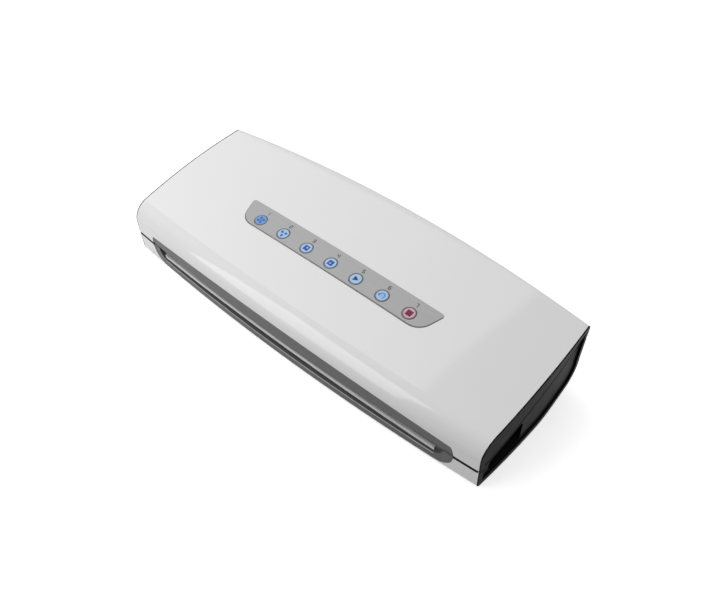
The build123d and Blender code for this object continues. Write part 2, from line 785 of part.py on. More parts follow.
def lid_hook():
    low = STEM_TOP_Z + HOOK_CLEAR
    y0, y1 = RELEASE_Y - HOOK_WIDTH / 2, RELEASE_Y + HOOK_WIDTH / 2
    tab = bar(HOOK_X - HOOK_THICK, HOOK_X, y0, y1, low, LID_PLATE_Z)
    barb_top = low + HOOK_BARB_HEIGHT
    barb_outline = Polyline((HOOK_X, low), (HOOK_X + HOOK_BARB, barb_top), (HOOK_X, barb_top), close=True)
    barb = extrude(Plane.XZ.offset(-y1) * make_face(barb_outline), HOOK_WIDTH)
    foot = bar(HOOK_X - 2 * HOOK_THICK, HOOK_X, y0, y1, LID_PLATE_Z - HOOK_FOOT, LID_PLATE_Z)
    return tab + barb + foot


def pocket_outline(grow):
    """Side view of the finger pocket, whose top follows the parting line."""
    drop = BASE_GAP + POCKET_TOP_WALL
    top_front = parting_z(POCKET_FRONT_Y) - drop + grow
    top_rear = parting_z(POCKET_REAR_Y) - drop + grow
    return [
        (POCKET_FRONT_Y - grow, POCKET_LOW_Z - grow),
        (POCKET_REAR_Y + grow, POCKET_LOW_Z - grow),
        (POCKET_REAR_Y + grow, top_rear),
        (POCKET_FRONT_Y - grow, top_front),
    ]


def pocket_housing(grow):
    outline = pocket_outline(POCKET_WALL + grow)
    block = side_prism(outline, HOUSING_X - grow, HALF - END_WALL / 2, POCKET_RADIUS)
    return block & below_parting(-BASE_GAP + grow)


def release_bar(x0, x1, grow):
    """The release stem's section, grown on every side, carried from x0 to x1."""
    half_y = RELEASE_STEM_WIDTH / 2 + grow
    half_z = RELEASE_STEM_HEIGHT / 2 + grow
    return bar(x0, x1, RELEASE_Y - half_y, RELEASE_Y + half_y, RELEASE_Z - half_z, RELEASE_Z + half_z)


def pocket_space():
    space = side_prism(pocket_outline(0), POCKET_FLOOR_X, 2 * FAR, POCKET_RADIUS - POCKET_WALL)
    hole = release_bar(HOUSING_X - OVERCUT, POCKET_FLOOR_X + OVERCUT, RELEASE_STEM_FIT)
    return space + hole


def spring_post():
    x0 = SPRING_POST_X - SPRING_POST_THICK
    half = RELEASE_STEM_WIDTH / 2
    return bar(x0, SPRING_POST_X, RELEASE_Y - half, RELEASE_Y + half, BOTTOM_Z + TUB_WALL / 2, STEM_TOP_Z)


def release_button():
    """The pad in the finger pocket, its stem with the hook's window and a collar that holds it in."""
    corner = RELEASE_PAD_HEIGHT / 2 - RELEASE_PAD_END_FLAT
    face = RectangleRounded(RELEASE_PAD_LENGTH, RELEASE_PAD_HEIGHT, corner)
    pad = extrude(Plane.YZ.offset(PAD_IN_X) * Pos(RELEASE_Y, RELEASE_Z) * face, RELEASE_PAD_THICK)
    pad = fillet(pad.faces().sort_by(Axis.X)[-1].edges(), RELEASE_PAD_EDGE)
    stem = release_bar(STEM_END_X, PAD_IN_X, 0)
    collar_end = HOUSING_X - FIT
    collar = release_bar(collar_end - RELEASE_COLLAR_THICK, collar_end, RELEASE_COLLAR)
    collar &= bar(0, FAR * 2, -FAR, FAR, 0, STEM_TOP_Z)
    half_y = HOOK_WIDTH / 2 + HOOK_SIDE_ROOM
    x0 = HOOK_X - HOOK_THICK - RELEASE_TRAVEL
    window = bar(x0, HOOK_X + HOOK_END_ROOM, RELEASE_Y - half_y, RELEASE_Y + half_y, 0, FAR)
    return pad + (stem - window) + collar


def release_spring():
    rise = SPRING_LENGTH - 2 * SPRING_WIRE
    path = Helix(rise / SPRING_TURNS, rise, SPRING_RADIUS)
    start = path @ 0
    wire = sweep(Plane(origin=start, z_dir=path % 0) * Circle(SPRING_WIRE), path)
    return Pos(SPRING_POST_X + SPRING_WIRE, RELEASE_Y, RELEASE_Z) * Rot(0, 90, 0) * wire


def fascia_zone(depth, shrink, split):
    zone = (envelope(0) - envelope(depth)) & below_parting(-BASE_GAP) & between_ends(shrink)
    return zone & bar(-2 * FAR, 2 * FAR, -FAR, split, -FAR, FAR)


def base_fascia():
    return fascia_zone(TUB_WALL, END_FLANGE, FASCIA_SPLIT_Y) - trim_pocket()


def floor_z(x, y):
    """Top of the tub's floor under a place."""
    rise = 0.0
    corners = section_corners(swell_at(x))
    start_y = corners[1][0]
    corner_y, corner_z, _ = corners[2]
    if y > start_y:
        rise = (corner_z - BOTTOM_Z) * (y - start_y) / (corner_y - start_y)
    return BOTTOM_Z + rise + TUB_WALL


def standoff(x, y, top):
    return rod_z(STANDOFF_RADIUS, x, y, floor_z(x, y) - TUB_WALL / 2, top) & envelope(TUB_WALL / 2)


def power_board_corners():
    dx = POWER_BOARD_LENGTH / 2 - STANDOFF_INSET
    dy = POWER_BOARD_WIDTH / 2 - STANDOFF_INSET
    return [(POWER_BOARD_X + sx * dx, POWER_BOARD_Y + sy * dy) for sx in (-1, 1) for sy in (-1, 1)]


def core_corners():
    dx = CORE_LENGTH / 2 - STANDOFF_INSET
    dy = CORE_DEPTH / 2 - STANDOFF_INSET
    return [(TRANSFORMER_X + sx * dx, TRANSFORMER_Y + sy * dy) for sx in (-1, 1) for sy in (-1, 1)]


def inlet_bar(y0, y1, grow):
    """The inlet's section, grown on every side, carried from y0 to y1."""
    half_x = INLET_LENGTH / 2 + grow
    half_z = INLET_HEIGHT / 2 + grow
    return bar(INLET_X - half_x, INLET_X + half_x, y0, y1, INLET_Z - half_z, INLET_Z + half_z)


def inlet_pad():
    return inlet_bar(INLET_PAD_Y - INLET_PAD_DEPTH, INLET_PAD_Y, INLET_FLANGE + INLET_PAD_RIM)


def inlet_hole():
    return inlet_bar(0, FAR, FIT)


def base_tub():
    tub = envelope(0) & below_parting(-BASE_GAP) & between_ends(0)
    tub -= envelope(TUB_WALL) & bar(END_WALL - HALF, HALF - END_WALL, -FAR, FAR, -FAR, FAR)
    tub -= fascia_zone(TUB_WALL + FIT, END_FLANGE - FIT / 2, FASCIA_SPLIT_Y + FIT / 2)
    tub -= trim_pocket()
    housing = pocket_housing(0)
    tub += [housing, mirrored(housing)]
    tub += [spring_post(), mirrored(spring_post())]
    tub += [standoff(x, y, POWER_BOARD_Z) for x, y in power_board_corners()]
    tub += [standoff(x, y, TRANSFORMER_LOW_Z) for x, y in core_corners()]
    tub += [standoff(x, y, bracket_low_z()) for x, y in bracket_feet()]
    tub += inlet_pad()
    tub -= inlet_hole()
    space = pocket_space()
    tub -= [space, mirrored(space)]
    dish = end_dish()
    tub -= [dish, mirrored(dish)]
    tub -= [rod_z(SCREW_RADIUS + SCREW_CLEAR, x, y, -FAR, BOTTOM_Z + 2 * TUB_WALL) for x, y in DECK_POSTS]
    tub -= [rod_z(SCREW_HEAD_RADIUS + SCREW_CLEAR, x, y, -FAR, screw_seat_z()) for x, y in DECK_POSTS]
    tub -= hinge_relief(hinge_sides(), KNUCKLE_LID_WIDTH)
    tub += [knuckle(x, KNUCKLE_BASE_WIDTH, -1) for x in base_knuckle_xs()]
    return tub - pin_bore(PIN_RADIUS)


def screw_seat_z():
    return BOTTOM_Z + TUB_WALL / 2


def deck_plate():
    band = plate_band(DECK_Z, DECK_RISER_Y, PLATE, -BASE_GAP)
    half = HALF - END_WALL - FIT
    deck = side_prism(band, -half, half) & envelope(TUB_WALL + FIT)
    deck -= trim_pocket()
    grow = 2 * FIT
    top = DECK_Z + OVERCUT
    deck -= slotted(TRAY_LENGTH + grow, TRAY_WIDTH + grow, TRAY_CORNER + FIT, 0, top, TRAY_Y)
    deck -= slotted(BAR_LENGTH + grow, BAR_WIDTH + grow, BAR_CORNER + FIT, 0, top, BAR_Y)
    housing = pocket_housing(FIT)
    deck -= [housing, mirrored(housing), hook_slot(), mirrored(hook_slot())]
    deck -= hinge_relief(hinge_sides(), KNUCKLE_LID_WIDTH)
    deck -= [knuckle_well(x) for x in base_knuckle_xs()]
    for x, y in DECK_POSTS:
        deck += rod_z(DECK_POST_RADIUS, x, y, BOTTOM_Z + TUB_WALL + FIT, DECK_Z - PLATE / 2)
        deck -= rod_z(SCREW_RADIUS, x, y, 0, screw_seat_z() + SCREW_GRIP)
    return deck


def knuckle_well(x):
    half = KNUCKLE_BASE_WIDTH / 2 + FIT
    low = HINGE_Z - KNUCKLE_ROOT - FIT
    return bar(x - half, x + half, HINGE_Y - KNUCKLE_DEPTH - FIT, FAR, low, FAR)


def drip_tray():
    """The vacuum channel, a long tray that hangs in the deck by its lip and ends in a hose nozzle."""
    low = DECK_Z - TRAY_DEPTH
    top = DECK_Z + TRAY_LIP_THICK
    tray = slotted(TRAY_LENGTH, TRAY_WIDTH, TRAY_CORNER, low, DECK_Z, TRAY_Y)
    lip = 2 * TRAY_LIP
    tray += slotted(TRAY_LENGTH + lip, TRAY_WIDTH + lip, TRAY_CORNER + TRAY_LIP, DECK_Z, top, TRAY_Y)
    inner = 2 * TRAY_WALL
    corner = TRAY_CORNER - TRAY_WALL
    hollow = slotted(TRAY_LENGTH - inner, TRAY_WIDTH - inner, corner, low + TRAY_WALL, FAR, TRAY_Y)
    rear = TRAY_Y + TRAY_WIDTH / 2
    tray = tray - hollow + hose_rod(NOZZLE_RADIUS, rear - TRAY_WALL / 2, rear + NOZZLE_LENGTH)
    return tray - hose_rod(NOZZLE_BORE, rear - 2 * TRAY_WALL, rear + NOZZLE_LENGTH + OVERCUT)


def hose_x():
    return BRACKET_END_X + HEAD_CHAMBER_DEPTH + (HEAD_LENGTH - HEAD_CHAMBER_DEPTH) / 2


def hose_rod(radius, y0, y1):
    return Pos(hose_x(), (y0 + y1) / 2, HOSE_Z) * Rot(90, 0, 0) * Cylinder(radius, y1 - y0)


def vacuum_hose():
    y0 = TRAY_Y + TRAY_WIDTH / 2 + FIT
    y1 = PUMP_Y - HEAD_DEPTH / 2 - FIT
    return hose_rod(HOSE_RADIUS, y0, y1) - hose_rod(NOZZLE_RADIUS, y0 - OVERCUT, y1 + OVERCUT)


def pump_motor():
    motor = rod_x(MOTOR_RADIUS, MOTOR_X, MOTOR_END_X, PUMP_Y, PUMP_Z)
    motor = fillet(motor.edges(), MOTOR_EDGE)
    end = MOTOR_END_X + MOTOR_BOSS_LENGTH
    motor += rod_x(MOTOR_BOSS_RADIUS, MOTOR_END_X - OVERCUT, end, PUMP_Y, PUMP_Z)
    return motor - rod_x(SHAFT_RADIUS + SHAFT_CLEAR, end - SHAFT_SEAT - FIT, end + OVERCUT, PUMP_Y, PUMP_Z)


def pump_shaft():
    start = MOTOR_END_X + MOTOR_BOSS_LENGTH - SHAFT_SEAT
    shaft = rod_x(SHAFT_RADIUS, start, start + SHAFT_LENGTH, PUMP_Y, PUMP_Z)
    x1 = start + SHAFT_LENGTH - SHAFT_TIP
    return shaft + rod_x(ECCENTRIC_RADIUS, x1 - ECCENTRIC_THICK, x1, PUMP_Y, PUMP_Z + ECCENTRIC_OFFSET)


def bracket_low_z():
    return floor_z(MOTOR_END_X, PUMP_Y + MOTOR_RADIUS) + FIT


def bracket_feet():
    x = MOTOR_END_X + BRACKET_THICK / 2
    reach = MOTOR_RADIUS - STANDOFF_INSET
    return [(x, PUMP_Y - reach), (x, PUMP_Y + reach)]


def pump_bracket():
    half = MOTOR_RADIUS
    top = PUMP_Z + half - BRACKET_TOP_DROP
    plate = bar(MOTOR_END_X, BRACKET_END_X, PUMP_Y - half, PUMP_Y + half, bracket_low_z(), top)
    x0, x1 = MOTOR_END_X - OVERCUT, BRACKET_END_X + OVERCUT
    return plate - rod_x(MOTOR_BOSS_RADIUS + FIT, x0, x1, PUMP_Y, PUMP_Z)


def pump_head():
    y0, y1 = PUMP_Y - HEAD_DEPTH / 2, PUMP_Y + HEAD_DEPTH / 2
    z0 = PUMP_Z - HEAD_HEIGHT / 2
    head = bar(BRACKET_END_X, HEAD_END_X, y0, y1, z0, z0 + HEAD_HEIGHT)
    head = fillet(head.edges().filter_by(Axis.X), HEAD_EDGE)
    chamber_end = BRACKET_END_X + HEAD_CHAMBER_DEPTH
    head -= rod_x(HEAD_CHAMBER_RADIUS, BRACKET_END_X - OVERCUT, chamber_end, PUMP_Y, PUMP_Z)
    head += hose_rod(NOZZLE_RADIUS, y0 - NOZZLE_LENGTH, y0 + OVERCUT)
    return head - hose_rod(NOZZLE_BORE, y0 - NOZZLE_LENGTH - OVERCUT, y0 + NOZZLE_LENGTH)


def release_valve():
    """A solenoid valve, its coil standing in a bent steel frame."""
    middle = floor_z(VALVE_X, PUMP_Y + VALVE_DEPTH / 2) + FIT + VALVE_HEIGHT / 2
    walls = 2 * VALVE_FRAME_WALL
    valve = Box(VALVE_LENGTH, VALVE_DEPTH, VALVE_HEIGHT)
    valve -= Box(VALVE_LENGTH + OVERCUT, VALVE_DEPTH - walls, VALVE_HEIGHT - walls)
    valve += Cylinder(VALVE_COIL_RADIUS, VALVE_COIL_HEIGHT)
    return Pos(VALVE_X, PUMP_Y, middle) * valve


def vacuum_switch():
    low = floor_z(VACUUM_SWITCH_X, PUMP_Y + VACUUM_SWITCH_RADIUS) + FIT
    can = rod_z(VACUUM_SWITCH_RADIUS, VACUUM_SWITCH_X, PUMP_Y, low, low + VACUUM_SWITCH_HEIGHT)
    can = fillet(can.edges(), VACUUM_SWITCH_EDGE)
    top = low + VACUUM_SWITCH_HEIGHT
    return can + rod_z(NOZZLE_RADIUS, VACUUM_SWITCH_X, PUMP_Y, top - OVERCUT, top + NOZZLE_LENGTH)


def transformer_core():
    high = TRANSFORMER_LOW_Z + CORE_HEIGHT
    x0, x1 = TRANSFORMER_X - CORE_LENGTH / 2, TRANSFORMER_X + CORE_LENGTH / 2
    y0, y1 = TRANSFORMER_Y - CORE_DEPTH / 2, TRANSFORMER_Y + CORE_DEPTH / 2
    core = bar(x0, x1, y0, y1, TRANSFORMER_LOW_Z, high)
    for side in (-1, 1):
        mid = TRANSFORMER_X + side * (CORE_LEG + CORE_WINDOW) / 2
        half = CORE_WINDOW / 2
        low = TRANSFORMER_LOW_Z + CORE_YOKE
        core -= bar(mid - half, mid + half, y0 - OVERCUT, y1 + OVERCUT, low, high - CORE_YOKE)
    return core


def transformer_coil():
    z0 = TRANSFORMER_LOW_Z + CORE_YOKE + COIL_FIT
    z1 = TRANSFORMER_LOW_Z + CORE_HEIGHT - CORE_YOKE - COIL_FIT
    leg_x, leg_y = CORE_LEG / 2 + COIL_FIT, CORE_DEPTH / 2 + COIL_FIT
    out_x = CORE_LEG / 2 + CORE_WINDOW - COIL_FIT
    out_y = CORE_DEPTH / 2 + COIL_OVERHANG
    coil = bar(-out_x, out_x, -out_y, out_y, z0, z1)
    coil = fillet(coil.edges().filter_by(Axis.Z), COIL_EDGE)
    coil -= bar(-leg_x, leg_x, -leg_y, leg_y, z0 - OVERCUT, z1 + OVERCUT)
    return Pos(TRANSFORMER_X, TRANSFORMER_Y, 0) * coil


def power_board():
    frame = Pos(POWER_BOARD_X, POWER_BOARD_Y, POWER_BOARD_Z + BOARD_THICK / 2)
    return frame * Box(POWER_BOARD_LENGTH, POWER_BOARD_WIDTH, BOARD_THICK)


def power_board_parts():
    """Relay, two capacitors and a finned heat sink standing on the power board."""
    relay = Pos(RELAY_X, BOARD_PARTS_FRONT_Y, RELAY_HEIGHT / 2) * Box(RELAY_LENGTH, RELAY_DEPTH, RELAY_HEIGHT)
    capacitors = [
        rod_z(CAPACITOR_RADIUS, x, BOARD_PARTS_FRONT_Y, 0, CAPACITOR_HEIGHT) for x in CAPACITOR_XS
    ]
    sink = Pos(0, SINK_Y, SINK_HEIGHT / 2) * Box(SINK_LENGTH, SINK_WALL, SINK_HEIGHT)
    fin_step = (SINK_LENGTH - FIN_THICK) / (FIN_COUNT - 1)
    for i in range(FIN_COUNT):
        x0 = i * fin_step - SINK_LENGTH / 2
        sink += bar(x0, x0 + FIN_THICK, SINK_Y, SINK_Y + FIN_DEPTH, 0, SINK_HEIGHT)
    place = Pos(POWER_BOARD_X, POWER_BOARD_Y, POWER_BOARD_Z + BOARD_THICK)
    return place * Compound([relay] + capacitors + [sink])


def power_inlet():
    """A flanged socket in the rear wall with two pins."""
    body = inlet_bar(INLET_PAD_Y - INLET_DEPTH, INLET_PAD_Y, 0)
    front = INLET_PAD_Y + INLET_FLANGE_THICK
    flange = inlet_bar(INLET_PAD_Y, front, INLET_FLANGE)
    flange = fillet(flange.edges().filter_by(Axis.Y), INLET_CORNER)
    opening = RectangleRounded(INLET_SOCKET_LENGTH, INLET_SOCKET_HEIGHT, INLET_SOCKET_HEIGHT / 2 - SLIVER)
    back = front - INLET_SOCKET_DEPTH
    socket = extrude(Plane.XZ.offset(-back) * Pos(INLET_X, INLET_Z) * opening, -INLET_SOCKET_DEPTH - OVERCUT)
    inlet = body + flange - socket
    for side in (-1, 1):
        x = INLET_X + side * INLET_PIN_SPACING / 2
        middle = back - INLET_PIN_ROOT + INLET_PIN_LENGTH / 2
        inlet += Pos(x, middle, INLET_Z) * Rot(90, 0, 0) * Cylinder(INLET_PIN_RADIUS, INLET_PIN_LENGTH)
    return inlet


def rubber_feet():
    body = envelope(0)
    feet = []
    for x, y in FEET:
        foot = rod_z(FOOT_RADIUS, x, y, 0, floor_z(x, y) + FOOT_SINK)
        foot = chamfer(foot.edges().sort_by(Axis.Z)[0], FOOT_CHAMFER)
        feet.append((foot - body).solids().sort_by(Axis.Z)[0])
    return Compound(feet)


def hinge_pin(x):
    half = KNUCKLE_LID_WIDTH / 2 + KNUCKLE_GAP + KNUCKLE_BASE_WIDTH
    return rod_x(PIN_RADIUS, x - half, x + half, HINGE_Y, HINGE_Z)


def button(x):
    """A round push button, its retaining flange and its stem down to the switch."""
    skin = LID_WALL + BUTTON_FLANGE_GAP
    drop = top_z(0, BUTTON_Y) - top_z(x, BUTTON_Y)
    switch_top = -(BOARD_DEPTH - SWITCH_HEIGHT - SWITCH_PLUNGER_HEIGHT) + drop * cos(radians(TILT))
    stem_end = switch_top + BUTTON_TRAVEL + SWITCH_GAP
    cap = Pos(0, 0, (BUTTON_PROUD - skin) / 2) * Cylinder(BUTTON_RADIUS, BUTTON_PROUD + skin)
    cap = fillet(cap.edges().sort_by(Axis.Z)[-1], BUTTON_EDGE)
    flange_low = -skin - BUTTON_FLANGE_THICK
    flange_radius = BUTTON_RADIUS + BUTTON_FLANGE
    flange = Pos(0, 0, (flange_low - skin) / 2) * Cylinder(flange_radius, BUTTON_FLANGE_THICK)
    stem = Pos(0, 0, (stem_end + flange_low) / 2) * Cylinder(BUTTON_STEM_RADIUS, flange_low - stem_end)
    return button_frame(x) * (cap + flange + stem)


def button_board():
    board = Pos(0, 0, -BOARD_DEPTH - BOARD_THICK / 2) * Box(BOARD_LENGTH, BOARD_WIDTH, BOARD_THICK)
    hole = Cylinder(SCREW_RADIUS + SCREW_CLEAR, 4 * BOARD_THICK)
    return board_frame() * board - [frame * hole for frame in board_screw_places()]


def tact_switches():
    switches = []
    for x in BUTTON_XS:
        body = Pos(x, 0, -BOARD_DEPTH + SWITCH_HEIGHT / 2) * Box(SWITCH_SIZE, SWITCH_SIZE, SWITCH_HEIGHT)
        height = -BOARD_DEPTH + SWITCH_HEIGHT + SWITCH_PLUNGER_HEIGHT / 2
        body += Pos(x, 0, height) * Cylinder(SWITCH_PLUNGER_RADIUS, SWITCH_PLUNGER_HEIGHT)
        switches.append(board_frame() * body)
    return Compound(switches)


def indicator_lamps():
    lamp = Pos(0, LAMP_OFFSET, LAMP_HEIGHT / 2 - BOARD_DEPTH) * Box(LAMP_SIZE, LAMP_SIZE, LAMP_HEIGHT)
    return Compound([board_frame() * Pos(x, 0, 0) * lamp for x in BUTTON_XS])


def board_screws():
    return Compound([screw(frame, SCREW_GRIP) for frame in board_screw_places()])


def lid_screws():
    screws = []
    for x, y in LID_POSTS:
        low = lid_plate_top_z(y - SCREW_HEAD_RADIUS) - PLATE
        screws.append(screw(Pos(x, y, low), SCREW_GRIP))
    return Compound(screws)


def deck_screws():
    return Compound([screw(Pos(x, y, screw_seat_z()), SCREW_GRIP) for x, y in DECK_POSTS])


def pieces():
    """Every piece of the sealer by name."""
    made = {
        "lid_shell": lid_shell(),
        "lid_end_cap_right": lid_end_cap(),
        "lid_inner_plate": lid_inner_plate(),
        "upper_front_trim": upper_front_trim(),
        "slot_rail": slot_rail(),
        "upper_gasket": upper_gasket(),
        "press_strip": press_strip(),
        "lid_hook_right": lid_hook(),
        "control_panel": control_panel(),
        "button_board": button_board(),
        "tact_switches": tact_switches(),
        "indicator_lamps": indicator_lamps(),
        "board_screws": board_screws(),
        "lid_screws": lid_screws(),
        "base_tub": base_tub(),
        "base_fascia": base_fascia(),
        "lower_front_trim": lower_front_trim(),
        "deck_plate": deck_plate(),
        "drip_tray": drip_tray(),
        "lower_gasket": lower_gasket(),
        "seal_bar": seal_bar(),
        "heating_strip": heating_strip(),
        "cover_tape": cover_tape(),
        "release_button_right": release_button(),
        "release_spring_right": release_spring(),
        "hinge_pin_left": hinge_pin(-HINGE_X),
        "hinge_pin_right": hinge_pin(HINGE_X),
        "pump_motor": pump_motor(),
        "pump_shaft": pump_shaft(),
        "pump_bracket": pump_bracket(),
        "pump_head": pump_head(),
        "vacuum_hose": vacuum_hose(),
        "release_valve": release_valve(),
        "vacuum_switch": vacuum_switch(),
        "transformer_core": transformer_core(),
        "transformer_coil": transformer_coil(),
        "power_board": power_board(),
        "power_board_parts": power_board_parts(),
        "power_inlet": power_inlet(),
        "rubber_feet": rubber_feet(),
        "deck_screws": deck_screws(),
    }
    for name in ("lid_end_cap", "lid_hook", "release_button", "release_spring"):
        made[name + "_left"] = mirrored(made[name + "_right"])
    for i, x in enumerate(BUTTON_XS):
        made[f"button_{i + 1}"] = button(x)
    return made


os.makedirs("parts", exist_ok=True)
for name, piece in pieces().items():
    export_step(piece, f"parts/{name}.step")
print(f"hinge axis y {HINGE_Y:.3f} z {HINGE_Z:.3f}, panel tilt {TILT:.3f}")
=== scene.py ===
import json
from math import asin, cos, pi, radians, sin, sqrt, tan

import bmesh
import bpy
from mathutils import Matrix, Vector


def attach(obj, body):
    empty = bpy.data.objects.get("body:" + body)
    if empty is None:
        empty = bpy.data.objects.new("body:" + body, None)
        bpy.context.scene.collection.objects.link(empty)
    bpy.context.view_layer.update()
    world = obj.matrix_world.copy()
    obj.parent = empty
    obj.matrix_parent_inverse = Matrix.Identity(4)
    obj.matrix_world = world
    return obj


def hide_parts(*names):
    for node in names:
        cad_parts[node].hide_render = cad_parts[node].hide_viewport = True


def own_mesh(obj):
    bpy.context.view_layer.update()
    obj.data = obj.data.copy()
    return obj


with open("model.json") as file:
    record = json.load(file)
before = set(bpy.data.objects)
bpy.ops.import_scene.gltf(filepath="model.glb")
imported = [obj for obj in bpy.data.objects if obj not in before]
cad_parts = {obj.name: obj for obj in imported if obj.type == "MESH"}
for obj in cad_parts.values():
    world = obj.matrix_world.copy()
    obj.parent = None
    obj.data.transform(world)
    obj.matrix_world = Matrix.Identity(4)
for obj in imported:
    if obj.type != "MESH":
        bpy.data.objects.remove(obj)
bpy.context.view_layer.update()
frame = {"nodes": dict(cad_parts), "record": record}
NODES = frame["nodes"]
MM = 0.001

# Body sizes, in millimetres
HALF_LENGTH = 190.0
END_BOW = 2.5
END_FLANGE = 1.0
BOW_REACH = 150.0
FRONT_Y = -67.3
FRONT_LEAN = 2.0
REAR_Y = 63.5
REAR_LEAN = 3.0
FRONT_BOW = 8.0
REAR_BOW = 11.0
TOP_CROWN = 4.5
FLOOR_Z = 2.0
SHOULDER_Z = 48.5
RIDGE_Z = 61.8
REAR_TOP_Z = 68.6
REAR_WALL_Z = 34.0
SHOULDER_RADIUS = 17.0
RIDGE_RADIUS = 1000.0
REAR_TOP_RADIUS = 3.0
LID_WALL = 2.6
LID_FRONT_Z = 22.6
LID_REAR_Z = 56.6

# Opening for the front trim
TRIM_HALF = 168.2
TRIM_TOP_Z = 37.7
TRIM_CORNER = 15.2
TRIM_ARCH_RADIUS = 2100.0

# Opening for the control panel
PANEL_REAR_Y = 2.25
PANEL_FRONT_Y = -21.65
PANEL_REAR_HALF = 104.75
PANEL_FRONT_HALF = 96.75
PANEL_REAR_RADIUS = 2.75
PANEL_FRONT_RADIUS = 15.25
PANEL_PROUD = 0.3
PATCH_HALF = 112.0
PATCH_FRONT_Y = -28.0
PATCH_REAR_Y = 8.0

# Buttons
BUTTON_PITCH = 27.0
BUTTON_Y = -12.8
BUTTON_PROUD = 0.5
BUTTON_TILT = radians(8.361)
BUTTON_XS = [BUTTON_PITCH * (i - 3) for i in range(7)]
ICON_THICK = 0.03
NUMERAL_Y = -3.4

# Painted shadow line round the panel, a dark strip where its raised edge shades: how many points each run
# has, and the line's width at its start and end
EDGE_LEFT = (16, 0.1, 0.35)
EDGE_FRONT = (80, 0.5, 0.7)
EDGE_RIGHT = (16, 0.65, 0.45)
EDGE_INSET = 0.32
EDGE_AHEAD = 0.004

# Signs on the buttons
FAN_HUB = 0.7
FAN_TURN = 0.4
BLADE_STEPS = 6
BLADE_BELLY = 0.35

# Hinge
HINGE_X = 45.0
HINGE_Y = 72.388
HINGE_Z = 56.0
KNUCKLE_RADIUS = 3.2
KNUCKLE_WIDTH = 16.0
KNUCKLE_DEPTH = 6.5
KNUCKLE_ROOT = 9.0
KNUCKLE_SIDES = 40
KNUCKLE_SLOPE_DROP = 5.5
KNUCKLE_SLOPE_BACK = 2.5
RELIEF_TOP_Z = 59.8
RELIEFS = [(27.2, 37.0), (53.0, 62.8)]

# Strips on the front
# Seam: a black strip painted as the shadow in the joint between lid and base
SEAM_FROM = 168.0
SEAM_TO = 188.5
SEAM_LOW_Z = 19.7
SEAM_HIGH_Z = 22.45
SEAM_DEPTH = -0.12
SEAM_BACK = 1.6
# Lip: a light grey strip painted as the highlight on the mouth's lower edge
LIP_HALF = 152.0
LIP_LOW_Z = 10.3
LIP_HIGH_Z = 10.95
LIP_PROUD = 0.06
LIP_BACK = 0.4
MOUTH_HALF = 160.0
MOUTH_TOP_Z = 22.0
MOUTH_LOW_Z = 11.0
MOUTH_MARGIN = 0.15
# Dark sheet painted as the shade on the mouth's recessed floor
LINER_HALF = 158.5
LINER_TOP_Z = 20.9
LINER_FRONT = 2.5
LINER_BACK = 2.58

# How finely the lid's surface and the strips are drawn
STRIP_STEPS = 40
WALL_ROWS = 8
ARC_ROWS = 28
FLANK_ROWS = 3
FRONT_ROWS = 5
PATCH_ROWS = 24
REAR_ROWS = 8
REAR_FLANK_ROWS = 4
REAR_ARC_ROWS = 12
REAR_WALL_ROWS = 4
WALL_SHARE = 0.04
PATCH_ROW = WALL_ROWS + ARC_ROWS + FLANK_ROWS + FRONT_ROWS
PATCH_ROW_END = PATCH_ROW + PATCH_ROWS
PATCH_RINGS = 4
PATCH_COLUMNS = 48
OUTER_COLUMNS = 8
OUTER_STEP = 6.0
TRIM_CORNER_COLUMNS = 12
RELIEF_STEP = 0.05
END_COLUMNS = 5
END_PASSES = 3
PANEL_CORNER_STEPS = 24
PATCH_SLACK = 0.01
CORNER_HALVINGS = 40

# Edges that turn by more than this are shaded as sharp, on the pieces made here and on the CAD nodes
PIECE_SHARP = radians(35)
NODE_SHARP = radians(30)


# Body surface

def section_corners(x):
    """Corners of the section at a place along the length, from the toe over the top to the rear wall."""
    swell = 1 - (x / HALF_LENGTH) ** 2
    front = FRONT_Y - FRONT_BOW * swell
    rear = REAR_Y + REAR_BOW * swell
    crown = TOP_CROWN * swell
    return [
        Vector((front + FRONT_LEAN, FLOOR_Z)),
        Vector((front, SHOULDER_Z + crown)),
        Vector((0.0, RIDGE_Z + crown)),
        Vector((rear, REAR_TOP_Z + crown)),
        Vector((rear - REAR_LEAN, REAR_WALL_Z)),
    ]


def rounded_corner(before, corner, after, radius):
    """Start, end and centre of the arc that rounds a corner."""
    a = (before - corner).normalized()
    b = (after - corner).normalized()
    half = a.angle(b) / 2
    reach = radius / tan(half)
    centre = corner + (a + b).normalized() * radius / sin(half)
    return corner + a * reach, corner + b * reach, centre


def along_arc(start, end, centre, share):
    """The point a share of the way along an arc."""
    a = start - centre
    b = end - centre
    turn = a.angle(b)
    blend = a * sin((1 - share) * turn) + b * sin(share * turn)
    return centre + blend / sin(turn)


def arch_z(x):
    """Height of the shallow arch that tops the trim."""
    return TRIM_TOP_Z - TRIM_ARCH_RADIUS + sqrt(TRIM_ARCH_RADIUS ** 2 - x ** 2)


def trim_corner_point(turn):
    """Place on the rounded upper corner of the trim."""
    x = TRIM_HALF - TRIM_CORNER + TRIM_CORNER * cos(turn)
    z = TRIM_TOP_Z - TRIM_CORNER + TRIM_CORNER * sin(turn)
    return x, z


def trim_corner_turn():
    """Angle on the trim's rounded corner where the arch meets it."""
    low, high = 0.0, pi / 2
    for _ in range(CORNER_HALVINGS):
        turn = (low + high) / 2
        x, z = trim_corner_point(turn)
        if z < arch_z(x):
            low = turn
        else:
            high = turn
    return low


def trim_edge_z(x):
    """Lower edge of the lid's front, which rises around the trim."""
    past = abs(x) - (TRIM_HALF - TRIM_CORNER)
    if past >= TRIM_CORNER:
        return LID_FRONT_Z
    edge = arch_z(x)
    if past > 0:
        edge = min(edge, TRIM_TOP_Z - TRIM_CORNER + sqrt(TRIM_CORNER ** 2 - past ** 2))
    return max(edge, LID_FRONT_Z)


def rear_edge_z(x):
    """Lower edge of the lid's rear, which rises beside the hinge barrels."""
    for low, high in RELIEFS:
        if low < abs(x) < high:
            return RELIEF_TOP_Z
    return LID_REAR_Z


